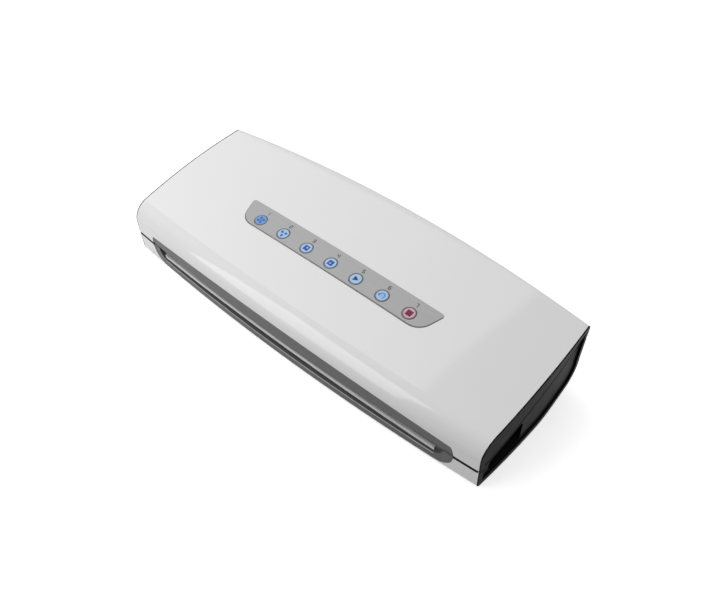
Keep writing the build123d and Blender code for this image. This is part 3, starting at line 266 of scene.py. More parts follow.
def on_line(low, high, z):
    """The point at a height on the line through two points of a section."""
    return low.lerp(high, (z - low.y) / (high.y - low.y))


def section_rows(x):
    """Points of the lid's outer section, from its front edge over the top to its rear edge."""
    toe, shoulder, ridge, rear_top, rear_wall = section_corners(x)
    shoulder_start, shoulder_end, shoulder_centre = rounded_corner(toe, shoulder, ridge, SHOULDER_RADIUS)
    ridge_start, ridge_end, ridge_centre = rounded_corner(shoulder, ridge, rear_top, RIDGE_RADIUS)
    rear_start, rear_end, rear_centre = rounded_corner(ridge, rear_top, rear_wall, REAR_TOP_RADIUS)

    def crest(y):
        return Vector((y, ridge_centre.y + sqrt(RIDGE_RADIUS ** 2 - (y - ridge_centre.x) ** 2)))

    edge = trim_edge_z(x)
    turn = (shoulder_start - shoulder_centre).angle(shoulder_end - shoulder_centre)
    lean = asin((shoulder_start.y - shoulder_centre.y) / SHOULDER_RADIUS)
    height = min(max((edge - shoulder_centre.y) / SHOULDER_RADIUS, -1.0), 1.0)
    skipped = max(asin(height) - lean, 0.0) / turn
    if skipped:
        low = along_arc(shoulder_start, shoulder_end, shoulder_centre, skipped)
    else:
        low = on_line(toe, shoulder, edge)
    arc_from = skipped + WALL_SHARE if skipped else 0.0
    arc_low = along_arc(shoulder_start, shoulder_end, shoulder_centre, arc_from)
    rows = [low.lerp(arc_low, i / WALL_ROWS) for i in range(WALL_ROWS)]
    for i in range(ARC_ROWS):
        share = arc_from + (1 - arc_from) * i / ARC_ROWS
        rows.append(along_arc(shoulder_start, shoulder_end, shoulder_centre, share))
    rows += [shoulder_end.lerp(ridge_start, i / FLANK_ROWS) for i in range(FLANK_ROWS)]
    front_step = (PATCH_FRONT_Y - ridge_start.x) / FRONT_ROWS
    rows += [crest(ridge_start.x + front_step * i) for i in range(FRONT_ROWS)]
    patch_step = (PATCH_REAR_Y - PATCH_FRONT_Y) / PATCH_ROWS
    rows += [crest(PATCH_FRONT_Y + patch_step * i) for i in range(PATCH_ROWS)]
    rear_step = (ridge_end.x - PATCH_REAR_Y) / REAR_ROWS
    rows += [crest(PATCH_REAR_Y + rear_step * i) for i in range(REAR_ROWS)]
    rows += [ridge_end.lerp(rear_start, i / REAR_FLANK_ROWS) for i in range(REAR_FLANK_ROWS)]
    for i in range(REAR_ARC_ROWS):
        rows.append(along_arc(rear_start, rear_end, rear_centre, i / REAR_ARC_ROWS))
    rear_edge = on_line(rear_end, rear_wall, rear_edge_z(x))
    rows += [rear_end.lerp(rear_edge, i / REAR_WALL_ROWS) for i in range(REAR_WALL_ROWS + 1)]
    return rows


def bowed_end_x(y):
    """How far the lid reaches along X at a place across it, where the black end starts."""
    middle = HALF_LENGTH + END_BOW - END_FLANGE
    drop = END_BOW * (BOW_REACH / FRONT_Y) ** 2
    radius = (BOW_REACH ** 2 + drop ** 2) / (2 * drop)
    return middle - radius + sqrt(radius ** 2 - y ** 2)


def top_z(x, y):
    """Height of the lid's top, around the panel."""
    _, shoulder, ridge, rear_top, _ = section_corners(x)
    centre = rounded_corner(shoulder, ridge, rear_top, RIDGE_RADIUS)[2]
    return centre.y + sqrt(RIDGE_RADIUS ** 2 - (y - centre.x) ** 2)


def lid_columns():
    """Places along the right half where the lid's section is drawn, from the middle to the trim's end."""
    half = [PATCH_HALF / PATCH_COLUMNS * i for i in range(PATCH_COLUMNS + 1)]
    half += [PATCH_HALF + OUTER_STEP * (i + 1) for i in range(OUTER_COLUMNS)]
    lowest = asin((LID_FRONT_Z - TRIM_TOP_Z + TRIM_CORNER) / TRIM_CORNER)
    highest = trim_corner_turn()
    for i in range(TRIM_CORNER_COLUMNS + 1):
        turn = highest + (lowest - highest) * i / TRIM_CORNER_COLUMNS
        half.append(trim_corner_point(turn)[0])
    for low, high in RELIEFS:
        half += [low - RELIEF_STEP, low + RELIEF_STEP, high - RELIEF_STEP, high + RELIEF_STEP]
    return sorted(half)


def lid_grid():
    """Rows of points, one list for each place along the length, from the left end to the right."""
    half = lid_columns()
    last = half[-1]
    ends = [(i + 1) / END_COLUMNS for i in range(END_COLUMNS)]

    def column(side, x, share):
        """A section at x or, given a share, at that share of the way on to the bowed end."""
        points = []
        for index, point in enumerate(section_rows(x)):
            along = x
            if share:
                for _ in range(END_PASSES):
                    along = last + (bowed_end_x(point.x) - last) * share
                    point = section_rows(along)[index]
            points.append(Vector((side * along, point.x, point.y)))
        return points

    right = [column(1, x, 0) for x in half] + [column(1, last, share) for share in ends]
    left = [column(-1, x, 0) for x in half[1:]] + [column(-1, last, share) for share in ends]
    return list(reversed(left)) + right


def panel_outline_sides():
    """The panel opening as four runs of points, each from the middle of one corner to the next."""
    corners = [
        Vector((-PANEL_FRONT_HALF, PANEL_FRONT_Y)),
        Vector((PANEL_FRONT_HALF, PANEL_FRONT_Y)),
        Vector((PANEL_REAR_HALF, PANEL_REAR_Y)),
        Vector((-PANEL_REAR_HALF, PANEL_REAR_Y)),
    ]
    radii = [PANEL_FRONT_RADIUS, PANEL_FRONT_RADIUS, PANEL_REAR_RADIUS, PANEL_REAR_RADIUS]
    arcs = []
    for i in range(4):
        arcs.append(rounded_corner(corners[i - 1], corners[i], corners[(i + 1) % 4], radii[i]))
    steps = [j / PANEL_CORNER_STEPS for j in range(PANEL_CORNER_STEPS // 2 + 1)]
    sides = []
    for i in range(4):
        run = [along_arc(*arcs[i], 0.5 + step) for step in steps]
        run += [along_arc(*arcs[(i + 1) % 4], step) for step in steps]
        sides.append(run)
    return sides


def at_share(run, share):
    """The point a share of the way along a run of points."""
    lengths = [(b - a).length for a, b in zip(run, run[1:])]
    left = share * sum(lengths)
    for a, b, length in zip(run, run[1:], lengths):
        if left <= length:
            return a.lerp(b, left / length)
        left -= length
    return run[-1]


# Meshes and pieces

def new_piece(name, bm, body, material):
    mesh = bpy.data.meshes.new(name)
    bm.to_mesh(mesh)
    bm.free()
    mesh.materials.append(material)
    for face in mesh.polygons:
        face.use_smooth = True
    mesh.set_sharp_from_angle(angle=PIECE_SHARP)
    piece = bpy.data.objects.new(name, mesh)
    bpy.context.scene.collection.objects.link(piece)
    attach(piece, body)
    return piece


def extrude_outline(bm, points, step):
    """Fills an outline and draws it out along a step."""
    face = bm.faces.new([bm.verts.new(point) for point in points])
    grown = bmesh.ops.extrude_face_region(bm, geom=[face])
    moved = [v for v in grown["geom"] if isinstance(v, bmesh.types.BMVert)]
    bmesh.ops.translate(bm, verts=moved, vec=step)


def join_rings(bm, rings):
    """Faces from each closed ring of points to the next."""
    count = len(rings[0])
    for near, far in zip(rings, rings[1:]):
        for i in range(count):
            j = (i + 1) % count
            bm.faces.new((near[i], near[j], far[j], far[i]))


def close_tube(bm, rings):
    """Joins rings of points into one closed piece."""
    join_rings(bm, rings)
    bm.faces.new(rings[0])
    bm.faces.new(rings[-1])


def add_knuckle(bm, x):
    """A hinge barrel with its root running up into the lid."""
    start = x - KNUCKLE_WIDTH / 2
    ring = []
    for i in range(KNUCKLE_SIDES):
        turn = 2 * pi * i / KNUCKLE_SIDES
        ring.append((HINGE_Y + KNUCKLE_RADIUS * cos(turn), HINGE_Z + KNUCKLE_RADIUS * sin(turn)))
    front = HINGE_Y - KNUCKLE_DEPTH
    rear = HINGE_Y + KNUCKLE_RADIUS
    top = HINGE_Z + KNUCKLE_ROOT
    slope = [(rear, top - KNUCKLE_SLOPE_DROP), (rear - KNUCKLE_SLOPE_BACK, top)]
    root = [(front, HINGE_Z), (rear, HINGE_Z), *slope, (front, top)]
    for outline in (ring, root):
        points = [Vector((start, y, z)) * MM for y, z in outline]
        extrude_outline(bm, points, Vector((KNUCKLE_WIDTH, 0, 0)) * MM)


def build_lid_skin(material):
    """The glossy lid: a smooth skin with openings for the trim and the panel, walls and hinge barrels."""
    grid = lid_grid()
    bm = bmesh.new()
    verts = [[None] * len(column) for column in grid]
    columns = [column[PATCH_ROW].x for column in grid]
    inside = [abs(x) <= PATCH_HALF + PATCH_SLACK for x in columns]

    def vert(c, r):
        if verts[c][r] is None:
            verts[c][r] = bm.verts.new(grid[c][r] * MM)
        return verts[c][r]

    for c in range(len(grid) - 1):
        for r in range(len(grid[c]) - 1):
            in_patch = inside[c] and inside[c + 1] and PATCH_ROW <= r < PATCH_ROW_END
            if not in_patch:
                bm.faces.new((vert(c, r), vert(c + 1, r), vert(c + 1, r + 1), vert(c, r + 1)))
    first = inside.index(True)
    last = len(inside) - 1 - inside[::-1].index(True)
    edges = [
        [(c, PATCH_ROW) for c in range(first, last + 1)],
        [(last, r) for r in range(PATCH_ROW, PATCH_ROW_END + 1)],
        [(c, PATCH_ROW_END) for c in range(last, first - 1, -1)],
        [(first, r) for r in range(PATCH_ROW_END, PATCH_ROW - 1, -1)],
    ]
    outer, inner = [], []
    for edge, run in zip(edges, panel_outline_sides()):
        places = [Vector((grid[c][r].x, grid[c][r].y)) for c, r in edge]
        whole = (places[-1] - places[0]).length
        for (c, r), place in list(zip(edge, places))[:-1]:
            outer.append(vert(c, r))
            inner.append(at_share(run, (place - places[0]).length / whole))
    rings = [outer]
    for step in range(1, PATCH_RINGS + 1):
        ring = []
        for v, target in zip(outer, inner):
            flat = Vector((v.co.x / MM, v.co.y / MM)).lerp(target, step / PATCH_RINGS)
            ring.append(bm.verts.new(Vector((flat.x, flat.y, top_z(flat.x, flat.y))) * MM))
        rings.append(ring)
    join_rings(bm, rings)
    bmesh.ops.recalc_face_normals(bm, faces=bm.faces)
    if sum(f.normal.z for f in bm.faces) < 0:
        bmesh.ops.reverse_faces(bm, faces=bm.faces)
    bm.normal_update()
    outside = list(bm.verts)
    border = [e for e in bm.edges if e.is_boundary]
    faces = list(bm.faces)
    under = {v: bm.verts.new(v.co - v.normal * LID_WALL * MM) for v in outside}
    for face in faces:
        bm.faces.new([under[v] for v in reversed(face.verts)])
    for edge in border:
        a, b = edge.link_loops[0].vert, edge.link_loops[0].link_loop_next.vert
        bm.faces.new((b, a, under[a], under[b]))
    for x in (-HINGE_X, HINGE_X):
        add_knuckle(bm, x)
    bmesh.ops.recalc_face_normals(bm, faces=bm.faces)
    skin = new_piece("lid_skin", bm, "lid", material)
    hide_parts("lid_shell")


def build_release_springs(steel):
    """Springs behind the release buttons, copied from the CAD nodes into pieces that ride the base."""
    for side in ("left", "right"):
        node = NODES[f"release_spring_{side}"]
        bm = bmesh.new()
        bm.from_mesh(node.data)
        bm.transform(node.matrix_world)
        bmesh.ops.remove_doubles(bm, verts=bm.verts, dist=1e-6)
        post = min((v.co for v in bm.verts), key=lambda co: abs(co.x)).copy()
        spring = new_piece(f"return_spring_{side}", bm, "base", steel)
        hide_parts(node.name)
        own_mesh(spring)


def front_strip(bm, from_x, to_x, low, high, outer, inner):
    """A thin strip along the front wall between two heights, from one depth behind it to another."""
    rings = []
    for i in range(STRIP_STEPS + 1):
        x = from_x + (to_x - from_x) * i / STRIP_STEPS
        toe, shoulder = section_corners(x)[:2]
        low_z, high_z = low(x), high(x)
        ring = []
        for z, depth in ((low_z, outer), (low_z, inner), (high_z, inner), (high_z, outer)):
            ring.append(bm.verts.new(Vector((x, on_line(toe, shoulder, z).x + depth, z)) * MM))
        rings.append(ring)
    close_tube(bm, rings)


def level(z):
    """The same height at every place along the length."""
    return lambda x: z


def mouth_low_z(x):
    """Lower edge of the bag mouth, which curves up at both ends."""
    corner = MOUTH_TOP_Z - MOUTH_LOW_Z
    past = max(abs(x) - (MOUTH_HALF - corner), 0.0)
    return MOUTH_TOP_Z - sqrt(corner ** 2 - past ** 2) + MOUTH_MARGIN


def build_front_strips(black, lip_highlight, floor_shade):
    """A dark strip as painted shadow in the joint between lid and base, a light grey lip as painted
    highlight under the bag mouth, and a dark sheet as painted shade on the mouth's floor.
    """
    bm = bmesh.new()
    # Painted shadow: a dark strip in the joint between lid and base, where the gap shades
    for side in (-1, 1):
        span = (side * SEAM_FROM, side * SEAM_TO)
        front_strip(bm, *span, level(SEAM_LOW_Z), level(SEAM_HIGH_Z), SEAM_DEPTH, SEAM_BACK)
    bmesh.ops.recalc_face_normals(bm, faces=bm.faces)
    new_piece("parting_shadow_strip", bm, "base", black)
    # Painted highlight: a light grey lip where the mouth's lower edge catches the light
    bm = bmesh.new()
    front_strip(bm, -LIP_HALF, LIP_HALF, level(LIP_LOW_Z), level(LIP_HIGH_Z), -LIP_PROUD, LIP_BACK)
    bmesh.ops.recalc_face_normals(bm, faces=bm.faces)
    new_piece("mouth_lip_highlight", bm, "base", lip_highlight)
    # Painted shade: a dark sheet on the mouth's recessed floor
    bm = bmesh.new()
    front_strip(bm, -LINER_HALF, LINER_HALF, mouth_low_z, level(LINER_TOP_Z), LINER_FRONT, LINER_BACK)
    bmesh.ops.recalc_face_normals(bm, faces=bm.faces)
    new_piece("mouth_shade_liner", bm, "base", floor_shade)


# Flat marks on the panel and the buttons

def plate(bm, place, points, height):
    """A thin flat shape drawn with (u, v) points on a tilted face, standing a little above it."""
    x, y, z = place
    up = Vector((0, -sin(BUTTON_TILT), cos(BUTTON_TILT)))
    across = Vector((0, cos(BUTTON_TILT), sin(BUTTON_TILT)))
    origin = Vector((x, y, z)) + up * height
    outline = [(origin + Vector((u, 0, 0)) + across * v) * MM for u, v in points]
    extrude_outline(bm, outline, up * ICON_THICK * MM)


def turned(points, angle):
    return [(u * cos(angle) - v * sin(angle), u * sin(angle) + v * cos(angle)) for u, v in points]


def rectangle(u0, u1, v0, v1):
    return [(u0, v0), (u1, v0), (u1, v1), (u0, v1)]


def fan_blade(length, width):
    """One curved blade that starts near the hub and leans to one side."""
    back = []
    for i in range(BLADE_STEPS + 1):
        share = i / BLADE_STEPS
        back.append((FAN_HUB + length * share, width * sin(pi * share)))
    front = [(u, -BLADE_BELLY * v) for u, v in reversed(back[1:-1])]
    return back + front


def ring_run(radius, width, start, end, count):
    """Part of a flat ring, from one angle to another."""
    outside = [(radius + width / 2, start + (end - start) * i / count) for i in range(count + 1)]
    inside = [(radius - width / 2, turn) for _, turn in reversed(outside)]
    return [(r * cos(turn), r * sin(turn)) for r, turn in outside + inside]


def fan_icon(blades, length, width):
    return [turned(fan_blade(length, width), 2 * pi * i / blades + FAN_TURN) for i in range(blades)]


def framed_square_icon(side, window, shift):
    """A square with a small window in it, drawn as four bars around the window."""
    s = side / 2
    w = window / 2
    return [
        rectangle(-s, shift - w, -s, s),
        rectangle(shift + w, s, -s, s),
        rectangle(shift - w, shift + w, -s, shift - w),
        rectangle(shift - w, shift + w, shift + w, s),
    ]


def button_icons():
    arrow = [ring_run(2.4, 1.1, radians(-60), radians(190), 20)]
    arrow += [[(-3.9, 0.2), (-1.1, 0.2), (-2.5, -2.2)]]
    return [
        fan_icon(4, 3.2, 1.5),
        fan_icon(3, 3.1, 1.6),
        framed_square_icon(5.0, 1.6, 0.5),
        framed_square_icon(5.0, 1.6, -0.3),
        [[(-1.9, 2.5), (-1.9, -2.5), (2.6, 0.0)]],
        arrow,
        [rectangle(-2.6, 2.6, -2.6, 2.6)],
    ]


SEGMENTS = {
    "top": rectangle(-1.0, 1.0, 1.2, 1.8),
    "middle": rectangle(-1.0, 1.0, -0.3, 0.3),
    "bottom": rectangle(-1.0, 1.0, -1.8, -1.2),
    "upper_left": rectangle(-1.25, -0.65, 0.0, 1.8),
    "upper_right": rectangle(0.65, 1.25, 0.0, 1.8),
    "lower_left": rectangle(-1.25, -0.65, -1.8, 0.0),
    "lower_right": rectangle(0.65, 1.25, -1.8, 0.0),
}
NUMERALS = [
    ["upper_right", "lower_right"],
    ["top", "upper_right", "middle", "lower_left", "bottom"],
    ["top", "upper_right", "middle", "lower_right", "bottom"],
    ["upper_left", "middle", "upper_right", "lower_right"],
    ["top", "upper_left", "middle", "lower_right", "bottom"],
    ["top", "upper_left", "middle", "lower_left", "lower_right", "bottom"],
    ["top", "upper_right", "lower_right"],
]


def build_button_marks(inks):
    for index, (x, icon) in enumerate(zip(BUTTON_XS, button_icons())):
        bm = bmesh.new()
        place = (x, BUTTON_Y, top_z(x, BUTTON_Y))
        for shape in icon:
            plate(bm, place, shape, BUTTON_PROUD)
        bmesh.ops.recalc_face_normals(bm, faces=bm.faces)
        slot = "button_red" if index == 6 else "button_blue"
        new_piece(f"button_{index + 1}_icon", bm, f"button_{index + 1}", inks[index])


def build_numerals(ink_and_shade_paint):
    bm = bmesh.new()
    for x, numeral in zip(BUTTON_XS, NUMERALS):
        place = (x, NUMERAL_Y, top_z(x, NUMERAL_Y))
        for name in numeral:
            plate(bm, place, SEGMENTS[name], PANEL_PROUD)
    bmesh.ops.recalc_face_normals(bm, faces=bm.faces)
    new_piece("panel_numerals", bm, "lid", ink_and_shade_paint)


def build_panel_edge_shadow(ink_and_shade_paint):
    """A dark line of painted shadow along the panel's raised front edge and its two ends, where the edge
    shades.
    """
    front, right, _, left = panel_outline_sides()
    places = []
    for run, line in ((left, EDGE_LEFT), (front, EDGE_FRONT), (right, EDGE_RIGHT)):
        count, from_width, to_width = line
        for i in range(count):
            share = i / (count - 1)
            onward = at_share(run, min(share + EDGE_AHEAD, 1.0))
            places.append((at_share(run, share), onward, from_width + (to_width - from_width) * share))
    bm = bmesh.new()
    rings = []
    for place, onward, width in places:
        if (onward - place).length < 1e-6:
            continue
        ahead = (onward - place).normalized()
        inward = Vector((-ahead.y, ahead.x))
        near, far = EDGE_INSET, EDGE_INSET + width
        ring = []
        for depth, height in ((near, 0.0), (near, ICON_THICK), (far, ICON_THICK), (far, 0.0)):
            spot = place + inward * depth
            z = top_z(spot.x, spot.y) + PANEL_PROUD + height
            ring.append(bm.verts.new(Vector((spot.x, spot.y, z)) * MM))
        rings.append(ring)
    close_tube(bm, rings)
    bmesh.ops.recalc_face_normals(bm, faces=bm.faces)
    new_piece("panel_edge_shadow_line", bm, "lid", ink_and_shade_paint)


# Materials

class Value:
    """A node socket that can be added, subtracted and multiplied like a number."""

    def __init__(self, tree, socket):
        self.tree = tree
        self.socket = socket

    def node(self, kind, inputs=(), output=0, **settings):
        made = self.tree.nodes.new(kind)
        for key, value in settings.items():
            setattr(made, key, value)
        for name, value in dict(inputs).items():
            if isinstance(value, Value):
                self.tree.links.new(value.socket, made.inputs[name])
            else:
                made.inputs[name].default_value = value
        return Value(self.tree, made.outputs[output])

    def math(self, operation, other=0.0):
        return self.node("ShaderNodeMath", {0: self, 1: other}, operation=operation)

    def __add__(self, other):
        return self.math("ADD", other)

    def __sub__(self, other):
        return self.math("SUBTRACT", other)

    def __rsub__(self, other):
        return self.math("MULTIPLY", -1.0) + other

    def __mul__(self, other):
        return self.math("MULTIPLY", other)

    __radd__ = __add__
    __rmul__ = __mul__

    def ramp(self, low, high):
        """0 below the low value, 1 above the high one, smooth between."""
        inputs = {"Value": self, "From Min": low, "From Max": high}
        return self.node("ShaderNodeMapRange", inputs, interpolation_type="SMOOTHSTEP")

    def mix(self, a, b):
        """Colour a where this value is 0, colour b where it is 1."""
        inputs = {0: self, 6: a, 7: b}
        return self.node("ShaderNodeMix", inputs, output=2, data_type="RGBA")


def colour(r, g, b):
    return (r, g, b, 1.0)


def new_material(name, **constants):
    """A principled material with constant sockets set, and its place on the object."""
    material = bpy.data.materials.new(name)
    material.use_nodes = True
    tree = material.node_tree
    shader = tree.nodes["Principled BSDF"]
    for socket, value in constants.items():
        shader.inputs[socket.replace("_", " ")].default_value = value
    coords = tree.nodes.new("ShaderNodeTexCoord")
    return material, shader, Value(tree, coords.outputs["Object"])


def drive(shader, socket, value):
    value.tree.links.new(value.socket, shader.inputs[socket])


# How finely the plastics are mottled and worn, how strongly, and how deep their grain is in metres
CLOUD_SCALE = 35.0
MOTTLE = 0.88
WEAR_SCALE = 90.0
WEAR_SPREAD = 0.12
GRAIN_DEPTH = 0.0001

# The lit disc of a button and the ring around it, in millimetres from its middle
DISC_RADIUS = 4.6
RING_FROM = 4.45
RING_TO = 4.85
BUTTON_GLOW = 0.06


def grain(place, scale, detail=3.0):
    inputs = {"Vector": place, "Scale": scale, "Detail": detail}
    return place.node("ShaderNodeTexNoise", inputs)


def bump(place, height, strength, distance):
    inputs = {"Strength": strength, "Distance": distance, "Height": height}
    return place.node("ShaderNodeBump", inputs)


def moulded(name, base, roughness, scale, depth, **constants):
    """Moulded plastic: a little mottled, with a fine grain."""
    material, shader, place = new_material(name, **constants)
    cloud = grain(place, CLOUD_SCALE)
    dark = colour(*[c * MOTTLE for c in base])
    drive(shader, "Base Color", cloud.ramp(0.3, 0.7).mix(dark, colour(*base)))
    wear = grain(place, WEAR_SCALE) * WEAR_SPREAD
    drive(shader, "Roughness", wear + (roughness - WEAR_SPREAD / 2))
    drive(shader, "Normal", bump(place, grain(place, scale, 2.0), depth, GRAIN_DEPTH))
    return material


def gloss_white():
    """Glossy white plastic, very slightly mottled."""
    material, shader, place = new_material("white_gloss")
    mottle = grain(place, 12.0).mix(colour(0.772, 0.772, 0.774), colour(0.80, 0.80, 0.80))
    drive(shader, "Base Color", mottle)
    drive(shader, "Roughness", grain(place, 60.0) * 0.03 + 0.055)
    return material


def satin_trim():
    """Dark grey satin plastic."""
    material, shader, place = new_material("grey_trim", Specular_IOR_Level=0.15)
    cloud = grain(place, CLOUD_SCALE)
    drive(shader, "Base Color", cloud.mix(colour(0.105, 0.105, 0.107), colour(0.125, 0.125, 0.128)))
    drive(shader, "Roughness", grain(place, WEAR_SCALE) * WEAR_SPREAD + 0.32)
    drive(shader, "Normal", bump(place, grain(place, 900.0, 2.0), 0.15, GRAIN_DEPTH))
    return material


def brushed_silver():
    """Silver-grey panel with fine lines along its length."""
    material, shader, place = new_material("panel_silver", Metallic=0.15)
    stretched = place.node("ShaderNodeMapping", {"Vector": place, "Scale": (30.0, 900.0, 900.0)})
    lines = grain(stretched, 1.0, 4.0)
    brushed = lines.mix(colour(0.34, 0.34, 0.345), colour(0.42, 0.42, 0.425))
    drive(shader, "Base Color", brushed)
    drive(shader, "Roughness", lines * 0.15 + 0.36)
    return material


def button_face(name, x, disc, centre, edge):
    """A lit disc inside a darker ring, measured from the button's middle."""
    material, shader, place = new_material(name, Emission_Strength=BUTTON_GLOW)
    along = place.node("ShaderNodeSeparateXYZ", {0: place}, output=0)
    across = place.node("ShaderNodeSeparateXYZ", {0: place}, output=1)
    u = (along - x * MM) * (1 / MM)
    v = (across - BUTTON_Y * MM) * (1 / MM / cos(BUTTON_TILT))
    distance = (u * u + v * v).math("SQRT")
    lit = distance.ramp(0.0, DISC_RADIUS).mix(centre, disc)
    ring = distance.ramp(RING_FROM, RING_TO)
    drive(shader, "Base Color", ring.mix(lit, edge))
    drive(shader, "Emission Color", ring.mix(lit, colour(0.0, 0.0, 0.0)))
    drive(shader, "Roughness", grain(place, 150.0) * 0.1 + 0.25)
    return material


def metal(name, base, roughness):
    """Plain metal with patches of wear."""
    material, shader, place = new_material(name, Metallic=1.0)
    wear = grain(place, 200.0)
    dark = colour(*[c * 0.8 for c in base])
    drive(shader, "Base Color", wear.mix(dark, colour(*base)))
    drive(shader, "Roughness", wear * 0.2 + (roughness - 0.1))
    return material


LIT_BLUE = colour(0.27, 0.44, 0.74)
PALE_BLUE = colour(0.35, 0.52, 0.76)
RING_BLUE = colour(0.13, 0.18, 0.22)
DEEP_BLUE = colour(0.07, 0.24, 0.64)
MID_BLUE = colour(0.11, 0.29, 0.66)
PALE_RED = colour(0.60, 0.32, 0.40)
LIT_RED = colour(0.54, 0.24, 0.32)
RING_RED = colour(0.17, 0.14, 0.16)


def ink_and_shade_paint(name, tone, shift):
    """Printed colour, a little uneven, for the marks on the panel and buttons; also the painted shadow line
    along the panel's edge.
    """
    material, shader, place = new_material(name, Specular_IOR_Level=0.3)
    light = colour(*[min(c * shift + 0.01, 1.0) for c in tone])
    drive(shader, "Base Color", grain(place, 400.0).mix(colour(*tone), light))
    drive(shader, "Roughness", grain(place, 300.0) * 0.1 + 0.4)
    return material


def button_materials():
    tones = [(MID_BLUE, DEEP_BLUE, RING_BLUE)]
    tones += [(PALE_BLUE, LIT_BLUE, RING_BLUE)] * 5
    tones += [(PALE_RED, LIT_RED, RING_RED)]
    made = []
    for index, (x, tone) in enumerate(zip(BUTTON_XS, tones)):
        made.append(button_face(f"button_{index + 1}_face", x, *tone))
    return made


def icon_inks():
    dark = ink_and_shade_paint("icon_dark_blue", (0.012, 0.075, 0.33), 1.3)
    navy = ink_and_shade_paint("icon_navy", (0.01, 0.035, 0.12), 1.3)
    soft = ink_and_shade_paint("icon_soft_blue", (0.12, 0.24, 0.62), 1.2)
    red = ink_and_shade_paint("icon_dark_red", (0.13, 0.008, 0.035), 1.3)
    return [dark, dark, dark, dark, navy, soft, red]


MATERIALS = {
    "white_gloss": gloss_white(),
    "black_plastic": moulded("black_plastic", (0.011, 0.011, 0.0115), 0.34, 900.0, 0.2, IOR=1.06),
    "grey_trim": satin_trim(),
    "panel_silver": brushed_silver(),
    "rubber_black": moulded("rubber_black", (0.018, 0.018, 0.018), 0.75, 700.0, 0.4),
    "silicone_red": moulded("silicone_red", (0.42, 0.05, 0.035), 0.55, 500.0, 0.2),
    "tape_brown": moulded("tape_brown", (0.30, 0.17, 0.075), 0.5, 1500.0, 0.4),
    "tray_grey": moulded("tray_grey", (0.30, 0.30, 0.31), 0.45, 700.0, 0.15),
    "steel": metal("steel", (0.62, 0.62, 0.63), 0.32),
    "copper": metal("copper", (0.72, 0.36, 0.19), 0.35),
    "board_green": moulded("board_green", (0.03, 0.16, 0.06), 0.45, 600.0, 0.1),
    "lamp_clear": moulded("lamp_clear", (0.80, 0.82, 0.85), 0.2, 300.0, 0.05),
    "component_dark": moulded("component_dark", (0.03, 0.03, 0.034), 0.5, 500.0, 0.2),
}


def dress_cad_nodes():
    faces = button_materials()
    slots = {part["node"]: part["material_slot"] for part in frame["record"]["subparts"]}
    for name, node in NODES.items():
        if name.startswith("button_") and name[-1].isdigit():
            material = faces[int(name[-1]) - 1]
        elif name == "slot_rail":
            material = moulded("rail_grey", (0.60, 0.60, 0.605), 0.35, 900.0, 0.1)
        else:
            material = MATERIALS[slots[name]]
        node.data.materials.clear()
        node.data.materials.append(material)
        for face in node.data.polygons:
            face.use_smooth = True
        node.data.set_sharp_from_angle(angle=NODE_SHARP)


# Studio

# The room's light: where it is brightest, how it falls off from there, and how strong it is at both ends
BRIGHT_SIDE = (-0.15, 0.25, 0.95)
DIM_BELOW = -0.1
BRIGHT_FROM = 1.0
ROOM_BRIGHT = 0.75
ROOM_DIM = 0.02

FLOOR_HALF = 8.0
FLOOR_BOUNCE = colour(0.32, 0.32, 0.32)
FLOOR_PAPER = colour(0.80, 0.80, 0.80)
FLOOR_GLOW = 0.62
WHITE = colour(1.0, 1.0, 1.0)
CAMERA_PLACE = (0.3218, -0.3412, 0.4925)
CAMERA_LENS = 39.84
CAMERA_SENSOR = 36.0
CAMERA_ELEVATION = 46.07
CAMERA_AZIMUTH = 42.0


def seen_directly(tree):
    """1 where the camera sees something straight, in a reflection or through glass."""
    path = tree.nodes.new("ShaderNodeLightPath")
    kinds = ("Is Camera Ray", "Is Glossy Ray", "Is Transmission Ray")
    straight, glossy, through = [Value(tree, path.outputs[kind]) for kind in kinds]
    return straight.math("MAXIMUM", glossy).math("MAXIMUM", through)


def studio_floor():
    """A pale floor that looks white but throws only a little light back at the object."""
    bm = bmesh.new()
    bmesh.ops.create_grid(bm, x_segments=1, y_segments=1, size=FLOOR_HALF)
    mesh = bpy.data.meshes.new("studio_floor")
    bm.to_mesh(mesh)
    bm.free()
    floor = bpy.data.objects.new("studio_floor", mesh)
    bpy.context.scene.collection.objects.link(floor)
    material = bpy.data.materials.new("studio_floor")
    material.use_nodes = True
    tree = material.node_tree
    tree.nodes.clear()
    output = tree.nodes.new("ShaderNodeOutputMaterial")
    rays = seen_directly(tree)
    bounce = rays.node("ShaderNodeBsdfDiffuse", {"Color": FLOOR_BOUNCE})
    paper = rays.node("ShaderNodeBsdfDiffuse", {"Color": FLOOR_PAPER})
    glow = rays.node("ShaderNodeEmission", {"Color": WHITE, "Strength": FLOOR_GLOW})
    seen = rays.node("ShaderNodeAddShader", {0: paper, 1: glow})
    mixed = rays.node("ShaderNodeMixShader", {0: rays, 1: bounce, 2: seen})
    tree.links.new(mixed.socket, output.inputs["Surface"])
    mesh.materials.append(material)


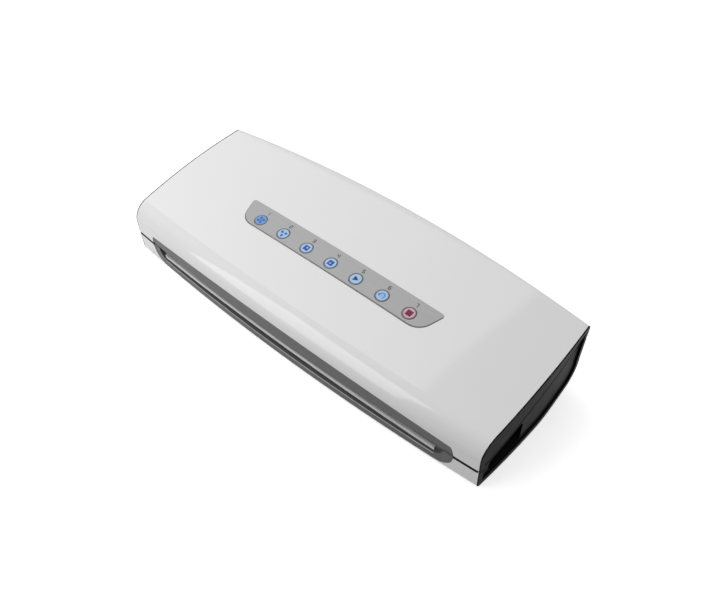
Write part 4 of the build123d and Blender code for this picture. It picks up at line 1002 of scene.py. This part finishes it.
def studio_world():
    """White to the eye, and brightest overhead for the light that it gives."""
    world = bpy.data.worlds.new("studio")
    bpy.context.scene.world = world
    world.use_nodes = True
    tree = world.node_tree
    tree.nodes.clear()
    output = tree.nodes.new("ShaderNodeOutputWorld")
    rays = seen_directly(tree)
    direction = Value(tree, tree.nodes.new("ShaderNodeTexCoord").outputs["Generated"])
    inputs = {0: direction, 1: BRIGHT_SIDE}
    facing = direction.node("ShaderNodeVectorMath", inputs, output=1, operation="DOT_PRODUCT")
    strength = facing.ramp(DIM_BELOW, BRIGHT_FROM) * (ROOM_BRIGHT - ROOM_DIM) + ROOM_DIM
    room = rays.node("ShaderNodeBackground", {"Color": WHITE, "Strength": strength})
    white = rays.node("ShaderNodeBackground", {"Color": WHITE, "Strength": 1.0})
    mixed = rays.node("ShaderNodeMixShader", {0: rays, 1: room, 2: white})
    tree.links.new(mixed.socket, output.inputs["Surface"])


def softbox(name, place, target, width, height, power):
    """A rectangular lamp at a place, turned towards a target."""
    lamp = bpy.data.lights.new(name, "AREA")
    lamp.shape = "RECTANGLE"
    lamp.size = width
    lamp.size_y = height
    lamp.energy = power
    box = bpy.data.objects.new(name, lamp)
    box.location = place
    box.rotation_euler = (Vector(target) - Vector(place)).to_track_quat("-Z", "Y").to_euler()
    bpy.context.scene.collection.objects.link(box)


def camera():
    data = bpy.data.cameras.new("camera")
    data.sensor_width = CAMERA_SENSOR
    data.lens = CAMERA_LENS
    view = bpy.data.objects.new("camera", data)
    view.location = CAMERA_PLACE
    view.rotation_euler = (radians(90 - CAMERA_ELEVATION), 0.0, radians(CAMERA_AZIMUTH))
    bpy.context.scene.collection.objects.link(view)
    bpy.context.scene.camera = view


build_lid_skin(MATERIALS["white_gloss"])
# Light grey for the painted highlight on the mouth's lip, near-black for the painted shade on the mouth's
# floor
mouth_lip_painted_highlight = moulded("mouth_lip_painted_highlight", (0.56, 0.56, 0.565), 0.35, 900.0, 0.1)
mouth_floor_painted_shade = moulded("mouth_floor_painted_shade", (0.035, 0.035, 0.036), 0.5, 900.0, 0.1)
build_front_strips(MATERIALS["black_plastic"], mouth_lip_painted_highlight, mouth_floor_painted_shade)
build_release_springs(MATERIALS["steel"])
build_button_marks(icon_inks())
build_numerals(ink_and_shade_paint("panel_ink", (0.03, 0.03, 0.03), 1.2))
# The dark line along the panel's edge is painted shadow, not print
build_panel_edge_shadow(ink_and_shade_paint("panel_edge_shadow_paint", (0.10, 0.10, 0.10), 1.2))
dress_cad_nodes()
studio_floor()
studio_world()
softbox(
    "front_softbox",
    place=(-0.315, -0.654, 0.478), target=(0.289, 0.267, 0.398), width=0.57, height=0.84, power=3.9,
)
softbox(
    "top_softbox",
    place=(-0.95, 0.5, 1.2), target=(-0.95, 0.501, 0.0), width=1.5, height=0.8, power=4.6,
)
camera()
bpy.context.scene.view_settings.view_transform = "Standard"
